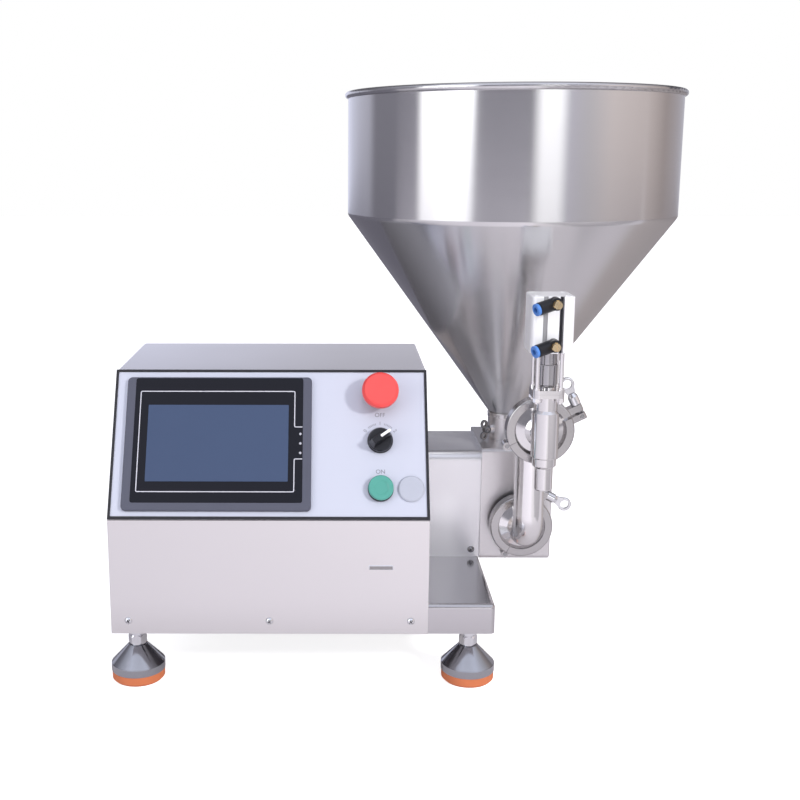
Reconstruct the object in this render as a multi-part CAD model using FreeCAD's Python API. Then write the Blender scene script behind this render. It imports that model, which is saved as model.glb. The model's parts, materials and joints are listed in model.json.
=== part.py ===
import FreeCAD, Part
import math
import os

# A desktop cream and jam filler: a sheet-metal control console on a shallow base tray, a gear motor
# and timing-gear case at its right, a lobe pump with a hopper above, and a discharge pipe that carries
# an air-operated filling valve forward of the hopper. All sizes are in millimetres. X runs to the
# right, Y to the back and Z up; heights are measured from the underside of the tray while the pieces
# are built, and the finished set is moved so that its origin is the bottom centre of its own box.

V = FreeCAD.Vector
X_AXIS, Y_AXIS, Z_AXIS = V(1, 0, 0), V(0, 1, 0), V(0, 0, 1)

# ---- clearances ----------------------------------------------------------------------------------
GAP = 0.3                # between pieces that move past one another
RUN = 0.05               # radial, a shaft in its bore
SEAT = 0.1               # radial, a screw shank or plug in its hole

# ---- base tray and console -----------------------------------------------------------------------
TRAY_WIDTH = 419.0
HOUSING_WIDTH = 73.0     # the part of the tray beside the console
CONSOLE_WIDTH = TRAY_WIDTH - HOUSING_WIDTH
DEPTH = 260.0
TRAY_HEIGHT = 34.0
TRAY_SHEET = 2.0
TRAY_BEND = 5.0
FOOT_LIP = 46.0          # return flange under the tray that takes the feet
LONG_LIP = 14.0          # return flange along the front and back
SHEET = 1.5
SHELL_FLANGE = 11.0
SHELL_BEND = 2.5
SHOULDER_HEIGHT = 130.0  # where the sloping panel starts
CONSOLE_HEIGHT = 277.0
PANEL_SETBACK = 83.0     # how far the sloping panel leans back
PANEL_LENGTH = math.hypot(PANEL_SETBACK, CONSOLE_HEIGHT - SHOULDER_HEIGHT)
GASKET_WIDTH = 3.0
GASKET_THICK = 2.6
PANEL_SCREW_HEIGHT = 15.0
PANEL_SCREW_INSET = 19.0
SCREW_HEAD_R = 4.2
SCREW_HEAD_H = 2.6
SCREW_SHANK_R = 2.0
SCREW_LENGTH = 9.0
LOUVRE_LENGTH = 26.0
LOUVRE_HEIGHT = 5.0
LOUVRE_X = CONSOLE_WIDTH - 52.0
LOUVRE_Z = 77.0
VENT_LENGTH = 70.0
VENT_HEIGHT = 3.2
VENT_PITCH = 11.0
VENT_ROWS = 7

# ---- rear services and power supply --------------------------------------------------------------
GLAND_X, GLAND_Z = 60.0, 74.0
GLAND_THREAD_R = 8.0
GLAND_BORE_R = 4.2
GLAND_NUT_AF = 20.0
GLAND_LOCK_AF = 22.0
GLAND_CAP = [(0, 0), (9.2, 0), (9.2, 7), (6.2, 12), (0, 12)]
AIR_PORT_Z = 74.0
AIR_PORT_X = 150.0
AIR_PORT_PITCH = 24.0
AIR_PORT_R = 7.0
AIR_NUT_AF = 18.0
AIR_NUT_H = 4.0
MANIFOLD_END = 14.0      # beyond the outer ports
MANIFOLD_FRONT = DEPTH - 40.0
MANIFOLD_BACK = DEPTH - 12.0
MANIFOLD_HALF = 13.0
COIL_LENGTH = 30.0
COIL_INSET = 2.0
SUPPLY_LEFT = 30.0
SUPPLY_WIDTH = 98.0
SUPPLY_FRONT = DEPTH - 160.0
SUPPLY_LENGTH = 100.0
SUPPLY_HEIGHT = 42.0
SUPPLY_VENTS = 9
SUPPLY_VENT_W = 4.0
SUPPLY_VENT_PITCH = 9.0
SUPPLY_MARGIN = 15.0     # plain band at the ends of the vents
STRIP_DEPTH = 12.0       # terminal strip behind the supply
STRIP_HEIGHT = 22.0

# ---- operator panel: places are along the slope (x across, s up) ---------------------------------
HMI_LEFT, HMI_FOOT, HMI_HEAD = 14.5, 8.5, 10.3     # margins round the screen's bezel
HMI_WIDTH, HMI_HEIGHT = 204.0, PANEL_LENGTH - HMI_FOOT - HMI_HEAD
HMI_X, HMI_S = HMI_LEFT + HMI_WIDTH / 2, HMI_FOOT + HMI_HEIGHT / 2
HMI_PROUD = 5.5
HMI_CUTOUT_W, HMI_CUTOUT_H = HMI_WIDTH - 12.0, HMI_HEIGHT - 12.0
HMI_BACK_DEPTH = 32.0
SCREEN_WIDTH, SCREEN_HEIGHT = HMI_WIDTH - 19.0, HMI_HEIGHT - 10.0
SCREEN_RISE = 3.5        # the overlay sits above the middle of the bezel
SCREEN_THICK = 0.9
DEVICE_X = CONSOLE_WIDTH - 52.5
DEVICE_HOLE_R = 11.25
DEVICE_BARREL_R = 11.0
ESTOP_S, SELECTOR_S, START_S = 0.8205 * PANEL_LENGTH, 0.5154 * PANEL_LENGTH, 0.1985 * PANEL_LENGTH
PLUG_X = CONSOLE_WIDTH - 19.5
PLUG_R = 14.4
PLUG_STUB_R = 8.0
PLUG_NUT_AF = 20.0
COLLAR_R = 14.0
COLLAR_H = 3.6
ESTOP_R = 20.0
ESTOP_HEAD_H = 12.5
ESTOP_NECK_R = 13.0
ESTOP_NECK_H = 9.0
ESTOP_TRAVEL = 6.0
STEM_R = 5.0
SELECTOR_R = 13.4
SELECTOR_BASE_H = 6.0
SELECTOR_GRIP_H = 11.0
SELECTOR_GRIP_W = 9.0
SELECTOR_REST_DEG = 35.0
BUTTON_R = 12.0
BUTTON_LIP_R = 13.7        # the cap covers its collar
BUTTON_PROUD = 5.0
BUTTON_TRAVEL = 2.5
BLOCK_WIDTH, BLOCK_HEIGHT, BLOCK_DEPTH = 30.0, 38.0, 34.0

# ---- levelling feet ------------------------------------------------------------------------------
FOOT_X_INSET_LEFT = 22.0
FOOT_X_INSET_RIGHT = 25.0
FOOT_Y_INSET = 33.0
FOOT_HEIGHT = 67.0
FOOT_R = 30.0
PAD_H = 11.5
BASE_BAND_H = 9.0
BASE_CONE_H = 20.0
BASE_NECK_R = 10.5
STUD_R = 6.0
STUD_NUT_AF = 18.0
STUD_NUT_H = 11.5
WELD_NUT_H = 10.0

# ---- drive ---------------------------------------------------------------------------------------
HOUSING_FRONT = DEPTH - 113.0
HOUSING_TOP = 165.0
HOUSING_BEND = 11.0
AXIS_Z = 124.0
AXIS_MID_Y = DEPTH - 59.0    # halfway between the two pump shafts
AXIS_GAP = 36.0
SHAFT_R = 6.0
BEARING_R = 14.0
BEARING_W = 8.0
CASE_WALL = 6.0
PLATE_THICK = 20.0       # pump mounting plate
CASE_LENGTH = 49.0       # gear case, up to the mounting plate
CASE_LEFT = TRAY_WIDTH - PLATE_THICK - CASE_LENGTH
PLATE_SCREW_Z = 43.0
PLATE_HOLE_DEPTH = 20.0
GEAR_MODULE = 2.0
GEAR_WIDTH = 16.0
PRESSURE_ANGLE = 20.0
GEAR_BACKLASH = 0.18     # taken off each flank
CASE_END = 12.0          # wall that carries the left-hand bearings
GEAR_INSET = 20.0        # case end to the gears
GEAR_LEFT = CASE_LEFT + GEAR_INSET
MOTOR_SIZE = 60.0
MOTOR_LENGTH = 88.0
GEARBOX_LENGTH = 52.0
GEARBOX_R = 29.0
GEARBOX_RING = 36.0      # its wide ring, from the motor to the step
SHAFT_TAIL = 38.0        # drive shaft inside the gearbox

# ---- pump ----------------------------------------------------------------------------------------
PUMP_DEPTH = 114.0
PUMP_BOTTOM, PUMP_TOP = 32.0, 170.0
PUMP_CORNER_R = 5.0
PUMP_BODY_LENGTH = 73.0
PUMP_BACK_WALL = 15.0
COVER_THICK = 12.0
LOBES = 3
LOBE_LENGTH = 57.0
ROTOR_CAP = 6.0          # closed front end of a rotor
LOBE_RELIEF = 0.2        # taken off the rotor profile
CHAMBER_RELIEF = 0.35
SEAL_R = 10.5
SEAL_W = 7.0
COVER_BOLT_R = 4.0
COVER_BOLT_HEAD_R = 6.5
COVER_BOLT_HEAD_H = 8.0
COVER_BOLT_INSET = 14.0
COVER_BOLT_GRIP = 20.0   # thread in the pump body
COVER_BOLT_AF = 6.0
COVER_SOCKET_DEPTH = 4.5

# ---- hopper --------------------------------------------------------------------------------------
HOPPER_REACH = 32.0      # tray end to the hopper axis
HOPPER_X = TRAY_WIDTH + HOPPER_REACH
HOPPER_WALL = 1.5
HOPPER_R = 192.0
BEAD_R = 3.8
RIM_Z = 581.0
CREASE_Z = 443.0
CREASE_R = 8.0
CONE_END_R = 17.4
CONE_END_Z = 203.0
COLLAR_RING_R = 18.8
COLLAR_RING_H = 5.5
SOCKET_R = 18.2
SOCKET_TOP = 197.0
SPIGOT_R = 14.4
SPIGOT_BOTTOM = 174.5
NECK_SEAL_Z = 187.0
NECK_SEAL_H = 3.0
NECK_SEAL_R = 16.4
LOCK_SCREW_Z = 183.2
LOCK_SCREW_DEG = 214.0   # seen from above, to the front left
LOCK_SCREW_R = 2.5
LOCK_BOSS_R = 5.5
LOCK_BOSS_REACH = 23.5   # from the neck's centre line
WING_HUB_R = 4.4
WING_HUB_H = 6.5
WING_OFFSET = 7.4
WING_LIFT = 6.4
WING_LOOP_R = 5.2
WING_HOLE_R = 2.6
WING_THICK = 3.0

# ---- clamp joints --------------------------------------------------------------------------------
LIP_EDGE = 2.4           # thickness of a ferrule lip at its rim
LIP_TAPER_DEG = 20.0
LIP_GRIP = 4.0           # how far the clamp reaches in over the lip
GASKET_JOINT = 0.8
CLAMP_WALL = 4.6
CLAMP_SIDE = 3.6
EAR_GAP = 3.0
EAR_THICK = 7.0
EAR_REACH = 15.0
EAR_HALF_WIDTH = 6.5
CLAMP_BOLT_R = 3.0
BOLT_OFFSET = 10.0       # bolt axis outside the clamp's rim
BOLT_EYE_R = 4.6
BOLT_EYE_HALF = 2.7
BOLT_PIVOT_Y = -5.0
BOLT_PIN_R = 2.0
RING_HUB_R = 5.6         # ring nut: a hub with one large ring on its end
RING_HUB_H = 13.0
RING_LIFT = 24.0         # seat of the nut to the middle of its ring
RING_R = 8.0
RING_HOLE_R = 4.9
RING_THICK = 3.6
HINGE_OFFSET = 2.5
HINGE_PIN_R = 2.2
HINGE_KNUCKLE_R = 4.4
HINGE_HALF = 7.0
HINGE_MIDDLE = 2.2       # half length of the middle knuckle
LOWER_EAR_DEG = 62.0     # nut on the right-hand side of the ears
UPPER_EAR_DEG = 26.0     # nut above the ears

# ---- discharge pipe ------------------------------------------------------------------------------
OUTLET_X = TRAY_WIDTH + 46.0
OUTLET_Z = 81.0
OUTLET_LIP_R = 32.0
OUTLET_BORE_R = 13.0
PIPE_R = 17.0
PIPE_WALL = 1.5
BEND_R = 31.0
BEND_REACH = 48.0        # bend centre line to ferrule face
OUTLET_STUB = 16.0       # pump front to ferrule face
UPPER_JOINT_Z = 222.0

# ---- filling valve -------------------------------------------------------------------------------
VALVE_REACH = 32.0       # upper ferrule face to valve axis
BARREL_R = 14.2
BARREL_BORE_R = 10.6
BARREL_BOTTOM = 200.0
BARREL_NECK_R = 11.9
BARREL_NECK_Z = 251.0
SEAT_BORE_R = 7.6
SEAT_THICK = 6.0
PORT_R = 12.5
PORT_BORE_R = 9.6
FLANGE_Z = 266.5
FLANGE_THICK = 4.2
FLANGE_CORNER_R = 6.5
BONNET_PLUG_DEPTH = 16.0
BONNET_BOSS_R = 8.5
BONNET_BOSS_H = 2.5
PACKING_H = 8.0
ROD_SPACING = 24.5
FLANGE_EDGE = 4.25       # tie rod axis to the edge of the square flanges
FLANGE_SIZE = ROD_SPACING + 2 * FLANGE_EDGE
ROD_R = 2.3
ROD_NUT_AF = 7.0
ROD_NUT_H = 4.4
ACTUATOR_BOTTOM = 315.0
ACTUATOR_HEIGHT = 58.5
ACTUATOR_SIZE = 44.0
ACTUATOR_CORNER_R = 6.0
CYLINDER_BORE_R = 16.0
PISTON_H = 17.0
PISTON_ROD_R = 6.0
COUPLER_R = 10.4         # cup that slides up outside the actuator's sleeve
COUPLER_BOTTOM = 278.6
COUPLER_FLOOR = 1.6
SLEEVE_R = 8.6
STEM_GRIP = 6.0          # valve stem in the coupler
STEM_ROD_R = 4.0
PLUNGER_R = 9.8
VALVE_STROKE = 14.0
SLOT_WIDTH = 4.6
SLOT_DEPTH = 3.6
SLOT_OFFSET = 8.2
AIR_INSET_LOW, AIR_INSET_HIGH = 10.0, 6.0
CAP_SCREW_INSET = 6.5
CAP_SCREW_R = 3.4
AIR_DRILL_R = 2.4
FITTING_R = 6.4
FITTING_HEX_AF = 9.5
FITTING_HEX_H = 3.4
FITTING_LENGTH = 15.0
FITTING_ARM = 20.0
FITTING_ARM_R = 6.6
FITTING_DROOP_DEG = 14.0
FITTING_FORWARD_DEG = 22.0
COLLET_R = 6.3
COLLET_PROUD = 3.6
COLLET_SHANK_R = 4.2
COLLET_DEPTH = 7.0
TUBE_BORE_R = 3.0
NEEDLE_R = 4.4
NEEDLE_HEAD = 7.5
NEEDLE_SLOT = 1.2
NEEDLE_SHANK_R = 2.2
NEEDLE_DEPTH = 8.0
NOZZLE_R = 9.6
NOZZLE_COLLAR_R = 12.6
NOZZLE_COLLAR_H = 9.0
NOZZLE_TIP_Z = 165.0
NOZZLE_BORE_R = 7.6

# ---- places worked out from the sizes above ------------------------------------------------------
PANEL_LEAN = math.degrees(math.atan2(PANEL_SETBACK, CONSOLE_HEIGHT - SHOULDER_HEIGHT))
PANEL_PLACE = FreeCAD.Placement(V(0, 0, SHOULDER_HEIGHT), FreeCAD.Rotation(X_AXIS, 90 - PANEL_LEAN))
PLATE_LEFT = TRAY_WIDTH - PLATE_THICK
DRIVE_Y = AXIS_MID_Y - AXIS_GAP / 2
IDLER_Y = AXIS_MID_Y + AXIS_GAP / 2
PITCH_R = AXIS_GAP / 2
GEAR_TEETH = round(AXIS_GAP / GEAR_MODULE)
LOBE_OUTER_R = PITCH_R * (1 + 1.0 / LOBES)
CHAMBER_R = LOBE_OUTER_R + CHAMBER_RELIEF
CHAMBER_LEFT = TRAY_WIDTH + PUMP_BACK_WALL
BODY_RIGHT = TRAY_WIDTH + PUMP_BODY_LENGTH
COVER_RIGHT = BODY_RIGHT + COVER_THICK
ROTOR_LEFT = CHAMBER_LEFT + GAP
ROTOR_RIGHT = ROTOR_LEFT + LOBE_LENGTH
PUMP_FRONT = AXIS_MID_Y - PUMP_DEPTH / 2
OUTLET_FACE = PUMP_FRONT - OUTLET_STUB
RISER_Y = OUTLET_FACE - BEND_REACH
UPPER_FACE = RISER_Y - BEND_REACH
VALVE_Y = UPPER_FACE - VALVE_REACH
BASE_BOTTOM = -FOOT_HEIGHT + PAD_H
BASE_TOP = BASE_BOTTOM + BASE_BAND_H + BASE_CONE_H
ACTUATOR_TOP = ACTUATOR_BOTTOM + ACTUATOR_HEIGHT
BONNET_Z = FLANGE_Z + FLANGE_THICK + SEAT
BONNET_TOP = BONNET_Z + FLANGE_THICK
CYLINDER_END = (ACTUATOR_HEIGHT - PISTON_H - VALVE_STROKE - 2 * GAP) / 2
CAP_BOTTOM = ACTUATOR_TOP - CYLINDER_END
COUPLER_TOP = ACTUATOR_BOTTOM - VALVE_STROKE - GAP
SLEEVE_BOTTOM = COUPLER_BOTTOM + STEM_GRIP + COUPLER_FLOOR + VALVE_STROKE + GAP
SPIGOT_BORE_R = SPIGOT_R - HOPPER_WALL
CLAMP_R = OUTLET_LIP_R + SEAT + CLAMP_WALL
BOLT_X = CLAMP_R + BOLT_OFFSET
FEET = [(x, y) for x in (FOOT_X_INSET_LEFT, TRAY_WIDTH - FOOT_X_INSET_RIGHT)
        for y in (FOOT_Y_INSET, DEPTH - FOOT_Y_INSET)]


# ---- shape helpers -------------------------------------------------------------------------------
def box(x0, x1, y0, y1, z0, z1):
    return Part.makeBox(x1 - x0, y1 - y0, z1 - z0, V(x0, y0, z0))


def rod(radius, length, base, direction=Z_AXIS):
    return Part.makeCylinder(radius, length, base, direction)


def fuse(first, *others):
    return first.multiFuse(list(others)).removeSplitter() if others else first


def lathe(profile, base=V(0, 0, 0), direction=Z_AXIS):
    """Turn a closed outline of (radius, height) points about its own axis and set it in place."""
    points = [V(r, 0, h) for r, h in profile]
    face = Part.Face(Part.makePolygon(points + points[:1]))
    turned = face.revolve(V(0, 0, 0), Z_AXIS, 360)
    turned.Placement = FreeCAD.Placement(base, FreeCAD.Rotation(Z_AXIS, direction))
    return Part.Solid(turned) if turned.ShapeType != "Solid" else turned


def prism(points, direction):
    return Part.Face(Part.makePolygon(points + points[:1])).extrude(direction)


def hex_prism(across_flats, height, base, direction=Z_AXIS):
    corner = across_flats / math.sqrt(3)
    points = [V(corner * math.cos(a), corner * math.sin(a), 0)
              for a in (math.radians(60 * i) for i in range(6))]
    piece = prism(points, V(0, 0, height))
    # the corners are turned off to a cone at both ends, as on a real nut
    turned = lathe([(0, 0), (across_flats / 2, 0), (corner, 0.13 * across_flats),
                    (corner, height - 0.13 * across_flats), (across_flats / 2, height), (0, height)])
    piece = piece.common(turned)
    piece.Placement = FreeCAD.Placement(base, FreeCAD.Rotation(Z_AXIS, direction))
    return piece


def rounded_plate(width, height, thick, corner, centre=V(0, 0, 0)):
    plate = box(-width / 2, width / 2, -height / 2, height / 2, 0, thick)
    upright = [e for e in plate.Edges if abs(e.tangentAt(e.FirstParameter).z) > 0.99]
    plate = plate.makeFillet(corner, upright)
    plate.translate(centre)
    return plate


def edges_along(shape, direction, test=None):
    found = []
    for edge in shape.Edges:
        straight = edge.Curve.TypeId == "Part::GeomLine"
        if straight and abs(edge.tangentAt(edge.FirstParameter) * direction) > 0.999:
            if test is None or test(edge.CenterOfMass):
                found.append(edge)
    return found


def on_panel(shape):
    """Lift a shape drawn flat (x across, y up the slope, z outwards) onto the sloping panel."""
    shape.Placement = PANEL_PLACE.multiply(shape.Placement)
    return shape


def group(shapes):
    return Part.makeCompound(shapes)


# ---- base tray and console -----------------------------------------------------------------------
def make_base_tray():
    tray = box(0, TRAY_WIDTH, 0, DEPTH, 0, TRAY_HEIGHT)
    tray = tray.makeFillet(TRAY_BEND, edges_along(tray, Z_AXIS)
                           + edges_along(tray, X_AXIS, lambda c: c.z > 1)
                           + edges_along(tray, Y_AXIS, lambda c: c.z > 1))
    t = TRAY_SHEET
    inside = box(t, TRAY_WIDTH - t, t, DEPTH - t, t, TRAY_HEIGHT - t)
    inside = inside.makeFillet(TRAY_BEND - t, edges_along(inside, Z_AXIS)
                               + edges_along(inside, X_AXIS, lambda c: c.z > t + 1)
                               + edges_along(inside, Y_AXIS, lambda c: c.z > t + 1))
    mouth = box(FOOT_LIP, TRAY_WIDTH - FOOT_LIP, LONG_LIP, DEPTH - LONG_LIP, -1, t + 1)
    holes = [rod(STUD_R + SEAT, t + 2, V(x, y, -1)) for x, y in FEET]
    holes += [rod(SCREW_SHANK_R + SEAT, t + 2, V(x, -1, PANEL_SCREW_HEIGHT), Y_AXIS)
              for x in front_screw_places()]
    return tray.cut(group([inside, mouth] + holes))


def front_screw_places():
    return [PANEL_SCREW_INSET, CONSOLE_WIDTH / 2, CONSOLE_WIDTH - PANEL_SCREW_INSET]


def console_outline(inset):
    """Side outline of the console, moved inwards by a sheet thickness, in the plane x = 0."""
    lean = math.radians(PANEL_LEAN)
    # where the inset front and top lines meet the inset slope
    rise = inset * math.tan(lean / 2)
    run = inset * math.tan((math.pi / 2 - lean) / 2)
    return [V(0, inset, TRAY_HEIGHT), V(0, inset, SHOULDER_HEIGHT - rise),
            V(0, PANEL_SETBACK + run, CONSOLE_HEIGHT - inset),
            V(0, DEPTH - inset, CONSOLE_HEIGHT - inset), V(0, DEPTH - inset, TRAY_HEIGHT)]


def make_enclosure_shell():
    outer = prism(console_outline(0), V(CONSOLE_WIDTH, 0, 0))
    outer = outer.makeFillet(SHELL_BEND, edges_along(outer, Y_AXIS, lambda c: c.z > CONSOLE_HEIGHT - 1))
    core = prism([p + V(SHEET, 0, 0) for p in console_outline(SHEET)], V(CONSOLE_WIDTH - 2 * SHEET, 0, 0))
    f = SHELL_FLANGE
    front = box(f, CONSOLE_WIDTH - f, -1, SHEET + 1, TRAY_HEIGHT + f, SHOULDER_HEIGHT - f)
    back = box(f, CONSOLE_WIDTH - f, DEPTH - SHEET - 1, DEPTH + 1, TRAY_HEIGHT + f, CONSOLE_HEIGHT - f)
    slope = on_panel(box(f, CONSOLE_WIDTH - f, f, PANEL_LENGTH - f, -SHEET - 1, 1))
    motor = box(CONSOLE_WIDTH - SHEET - 1, CONSOLE_WIDTH + 1, HOUSING_FRONT + 4, DEPTH - f,
                AXIS_Z - CHAMBER_R - CASE_WALL - 4, HOUSING_TOP - 4)
    holes = [rod(SCREW_SHANK_R + SEAT, 10, V(x, DEPTH - 8, z), Y_AXIS) for x, z in rear_screw_places()]
    return outer.cut(group([core, front, back, slope, motor] + holes))


def make_lower_front_panel():
    panel = box(0, CONSOLE_WIDTH, -SHEET, 0, 0, SHOULDER_HEIGHT - 0.6)
    panel = panel.makeFillet(0.6, edges_along(panel, Z_AXIS, lambda c: c.y < -SHEET / 2))
    holes = [rod(SCREW_SHANK_R + SEAT, SHEET + 2, V(x, -SHEET - 1, PANEL_SCREW_HEIGHT), Y_AXIS)
             for x in front_screw_places()]
    # a single pressed louvre: a hood pushed out above its slot
    half = LOUVRE_LENGTH / 2
    slot = box(LOUVRE_X - half, LOUVRE_X + half, -SHEET - 1, 1, LOUVRE_Z - LOUVRE_HEIGHT / 2, LOUVRE_Z)
    hood = prism([V(LOUVRE_X - half, -SHEET, LOUVRE_Z + LOUVRE_HEIGHT / 2),
                  V(LOUVRE_X - half, -SHEET - 2.4, LOUVRE_Z - LOUVRE_HEIGHT / 4),
                  V(LOUVRE_X - half, -SHEET - 1.4, LOUVRE_Z - LOUVRE_HEIGHT / 4),
                  V(LOUVRE_X - half, -SHEET, LOUVRE_Z + LOUVRE_HEIGHT / 5)], V(LOUVRE_LENGTH, 0, 0))
    return panel.cut(group(holes + [slot])).fuse(hood).removeSplitter()


def panel_screw(base, direction):
    """Dome-headed screw: the base is the seat of the head and the direction points out of the panel."""
    corners = [V(0, 0, -SCREW_LENGTH), V(SCREW_SHANK_R, 0, -SCREW_LENGTH), V(SCREW_SHANK_R, 0, 0),
               V(SCREW_HEAD_R, 0, 0)]
    crown = V(0, 0, SCREW_HEAD_H)
    ball_r = (SCREW_HEAD_R ** 2 + SCREW_HEAD_H ** 2) / (2 * SCREW_HEAD_H)
    half = math.asin(SCREW_HEAD_R / ball_r) / 2
    middle = V(ball_r * math.sin(half), 0, SCREW_HEAD_H - ball_r + ball_r * math.cos(half))
    edges = [Part.makeLine(p, q) for p, q in zip(corners, corners[1:])]
    edges += [Part.Arc(corners[-1], middle, crown).toShape(), Part.makeLine(crown, corners[0])]
    screw = Part.Face(Part.Wire(edges)).revolve(V(0, 0, 0), Z_AXIS, 360)
    screw.Placement = FreeCAD.Placement(base, FreeCAD.Rotation(Z_AXIS, direction))
    return screw


def rear_screw_places():
    return [(x, z) for x in (SHELL_FLANGE / 2 + 1, CONSOLE_WIDTH - SHELL_FLANGE / 2 - 1)
            for z in (TRAY_HEIGHT + 14, CONSOLE_HEIGHT - 14)]


def make_panel_screws():
    front = [panel_screw(V(x, -SHEET, PANEL_SCREW_HEIGHT), V(0, -1, 0)) for x in front_screw_places()]
    rear = [panel_screw(V(x, DEPTH + SHEET, z), Y_AXIS) for x, z in rear_screw_places()]
    return group(front + rear)


def make_rear_panel():
    y0, y1 = DEPTH, DEPTH + SHEET
    panel = box(0, CONSOLE_WIDTH, y0, y1, TRAY_HEIGHT + 1, CONSOLE_HEIGHT - 1)
    panel = panel.makeFillet(3, edges_along(panel, Y_AXIS))
    cuts = [rod(SCREW_SHANK_R + SEAT, SHEET + 2, V(x, y0 - 1, z), Y_AXIS) for x, z in rear_screw_places()]
    for column in (0.3, 0.7):
        middle = CONSOLE_WIDTH * column
        for row in range(VENT_ROWS):
            z = CONSOLE_HEIGHT - 50 - row * VENT_PITCH
            slot = box(middle - VENT_LENGTH / 2, middle + VENT_LENGTH / 2, y0 - 1, y1 + 1, z, z + VENT_HEIGHT)
            cuts.append(slot.makeFillet(VENT_HEIGHT / 2 - 0.05, edges_along(slot, Y_AXIS)))
    cuts.append(rod(GLAND_THREAD_R + SEAT, SHEET + 2, V(GLAND_X, y0 - 1, GLAND_Z), Y_AXIS))
    cuts += [rod(AIR_PORT_R + SEAT, SHEET + 2, V(x, y0 - 1, AIR_PORT_Z), Y_AXIS) for x in air_port_places()]
    return panel.cut(group(cuts))


# ---- rear services -------------------------------------------------------------------------------
def air_port_places():
    return [AIR_PORT_X + i * AIR_PORT_PITCH for i in range(3)]


def make_cable_gland():
    out = DEPTH + SHEET
    body = fuse(rod(GLAND_THREAD_R, 14, V(GLAND_X, DEPTH - 12, GLAND_Z), Y_AXIS),
                hex_prism(GLAND_NUT_AF, 6, V(GLAND_X, out, GLAND_Z), Y_AXIS),
                hex_prism(GLAND_LOCK_AF, 5, V(GLAND_X, DEPTH - 5, GLAND_Z), Y_AXIS),
                lathe(GLAND_CAP, V(GLAND_X, out + 6, GLAND_Z), Y_AXIS))
    return body.cut(rod(GLAND_BORE_R, 60, V(GLAND_X, DEPTH - 30, GLAND_Z), Y_AXIS))


def make_solenoid_valve():
    """Valve manifold with its coil and three threaded ports that pass through the rear panel."""
    x0 = AIR_PORT_X - MANIFOLD_END
    x1 = air_port_places()[-1] + MANIFOLD_END
    low, high = AIR_PORT_Z - MANIFOLD_HALF, AIR_PORT_Z + MANIFOLD_HALF
    body = box(x0, x1, MANIFOLD_FRONT, MANIFOLD_BACK, low, high)
    y0, y1 = MANIFOLD_FRONT + COIL_INSET, MANIFOLD_BACK - COIL_INSET
    coil = box(x1, x1 + COIL_LENGTH, y0, y1, low + 1, high - 1)
    coil = coil.makeFillet(2, coil.Edges)
    foot = box(x0 + 6, x1 - 6, y0, y1, TRAY_HEIGHT, low)
    reach = DEPTH + MANIFOLD_END - MANIFOLD_BACK
    barrels = [rod(AIR_PORT_R, reach, V(x, MANIFOLD_BACK, AIR_PORT_Z), Y_AXIS) for x in air_port_places()]
    nuts = [hex_prism(AIR_NUT_AF, AIR_NUT_H, V(x, DEPTH + SHEET, AIR_PORT_Z), Y_AXIS)
            for x in air_port_places()]
    bores = [rod(TUBE_BORE_R, reach, V(x, DEPTH - 6, AIR_PORT_Z), Y_AXIS) for x in air_port_places()]
    return fuse(body, coil, foot, *(barrels + nuts)).cut(group(bores))


# ---- operator panel ------------------------------------------------------------------------------
def make_panel_gasket():
    frame = box(0, CONSOLE_WIDTH, 0, PANEL_LENGTH, 0, GASKET_THICK)
    frame = frame.makeFillet(0.8, [e for e in frame.Edges if abs(e.CenterOfMass.z - GASKET_THICK) < 0.01])
    g = GASKET_WIDTH
    return on_panel(frame.cut(box(g, CONSOLE_WIDTH - g, g, PANEL_LENGTH - g, -1, GASKET_THICK + 1)))


def device_places():
    return [(DEVICE_X, ESTOP_S), (DEVICE_X, SELECTOR_S), (DEVICE_X, START_S)]


def make_control_panel():
    g = GASKET_WIDTH
    panel = box(g, CONSOLE_WIDTH - g, g, PANEL_LENGTH - g, 0, SHEET)
    holes = [rod(DEVICE_HOLE_R, SHEET + 2, V(x, s, -1)) for x, s in device_places()]
    holes.append(rod(PLUG_STUB_R + SEAT, SHEET + 2, V(PLUG_X, START_S, -1)))
    window = box(HMI_X - HMI_CUTOUT_W / 2, HMI_X + HMI_CUTOUT_W / 2,
                 HMI_S - HMI_CUTOUT_H / 2, HMI_S + HMI_CUTOUT_H / 2, -1, SHEET + 1)
    return on_panel(panel.cut(group(holes + [window])))


def make_hmi_housing():
    bezel = rounded_plate(HMI_WIDTH, HMI_HEIGHT, HMI_PROUD, 5, V(HMI_X, HMI_S, SHEET))
    rim = [e for e in bezel.Edges if abs(e.CenterOfMass.z - SHEET - HMI_PROUD) < 0.01]
    bezel = bezel.makeFillet(1.6, rim)
    back = rounded_plate(HMI_CUTOUT_W - 1, HMI_CUTOUT_H - 1, HMI_BACK_DEPTH + SHEET, 3,
                         V(HMI_X, HMI_S, -HMI_BACK_DEPTH))
    recess = rounded_plate(SCREEN_WIDTH + 2 * SEAT, SCREEN_HEIGHT + 2 * SEAT, SCREEN_THICK + 1, 2.5,
                           V(HMI_X, HMI_S + SCREEN_RISE, SHEET + HMI_PROUD - SCREEN_THICK))
    # cooling ribs on the back of the unit
    ribs = [box(HMI_X - 70, HMI_X + 70, HMI_S - 45 + 15 * i, HMI_S - 39 + 15 * i,
                -HMI_BACK_DEPTH - 1, -HMI_BACK_DEPTH + 2) for i in range(7)]
    return on_panel(fuse(bezel, back).cut(group([recess] + ribs)))


def make_hmi_screen():
    return on_panel(rounded_plate(SCREEN_WIDTH, SCREEN_HEIGHT, SCREEN_THICK, 2.4,
                                  V(HMI_X, HMI_S + SCREEN_RISE, SHEET + HMI_PROUD - SCREEN_THICK)))


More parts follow.
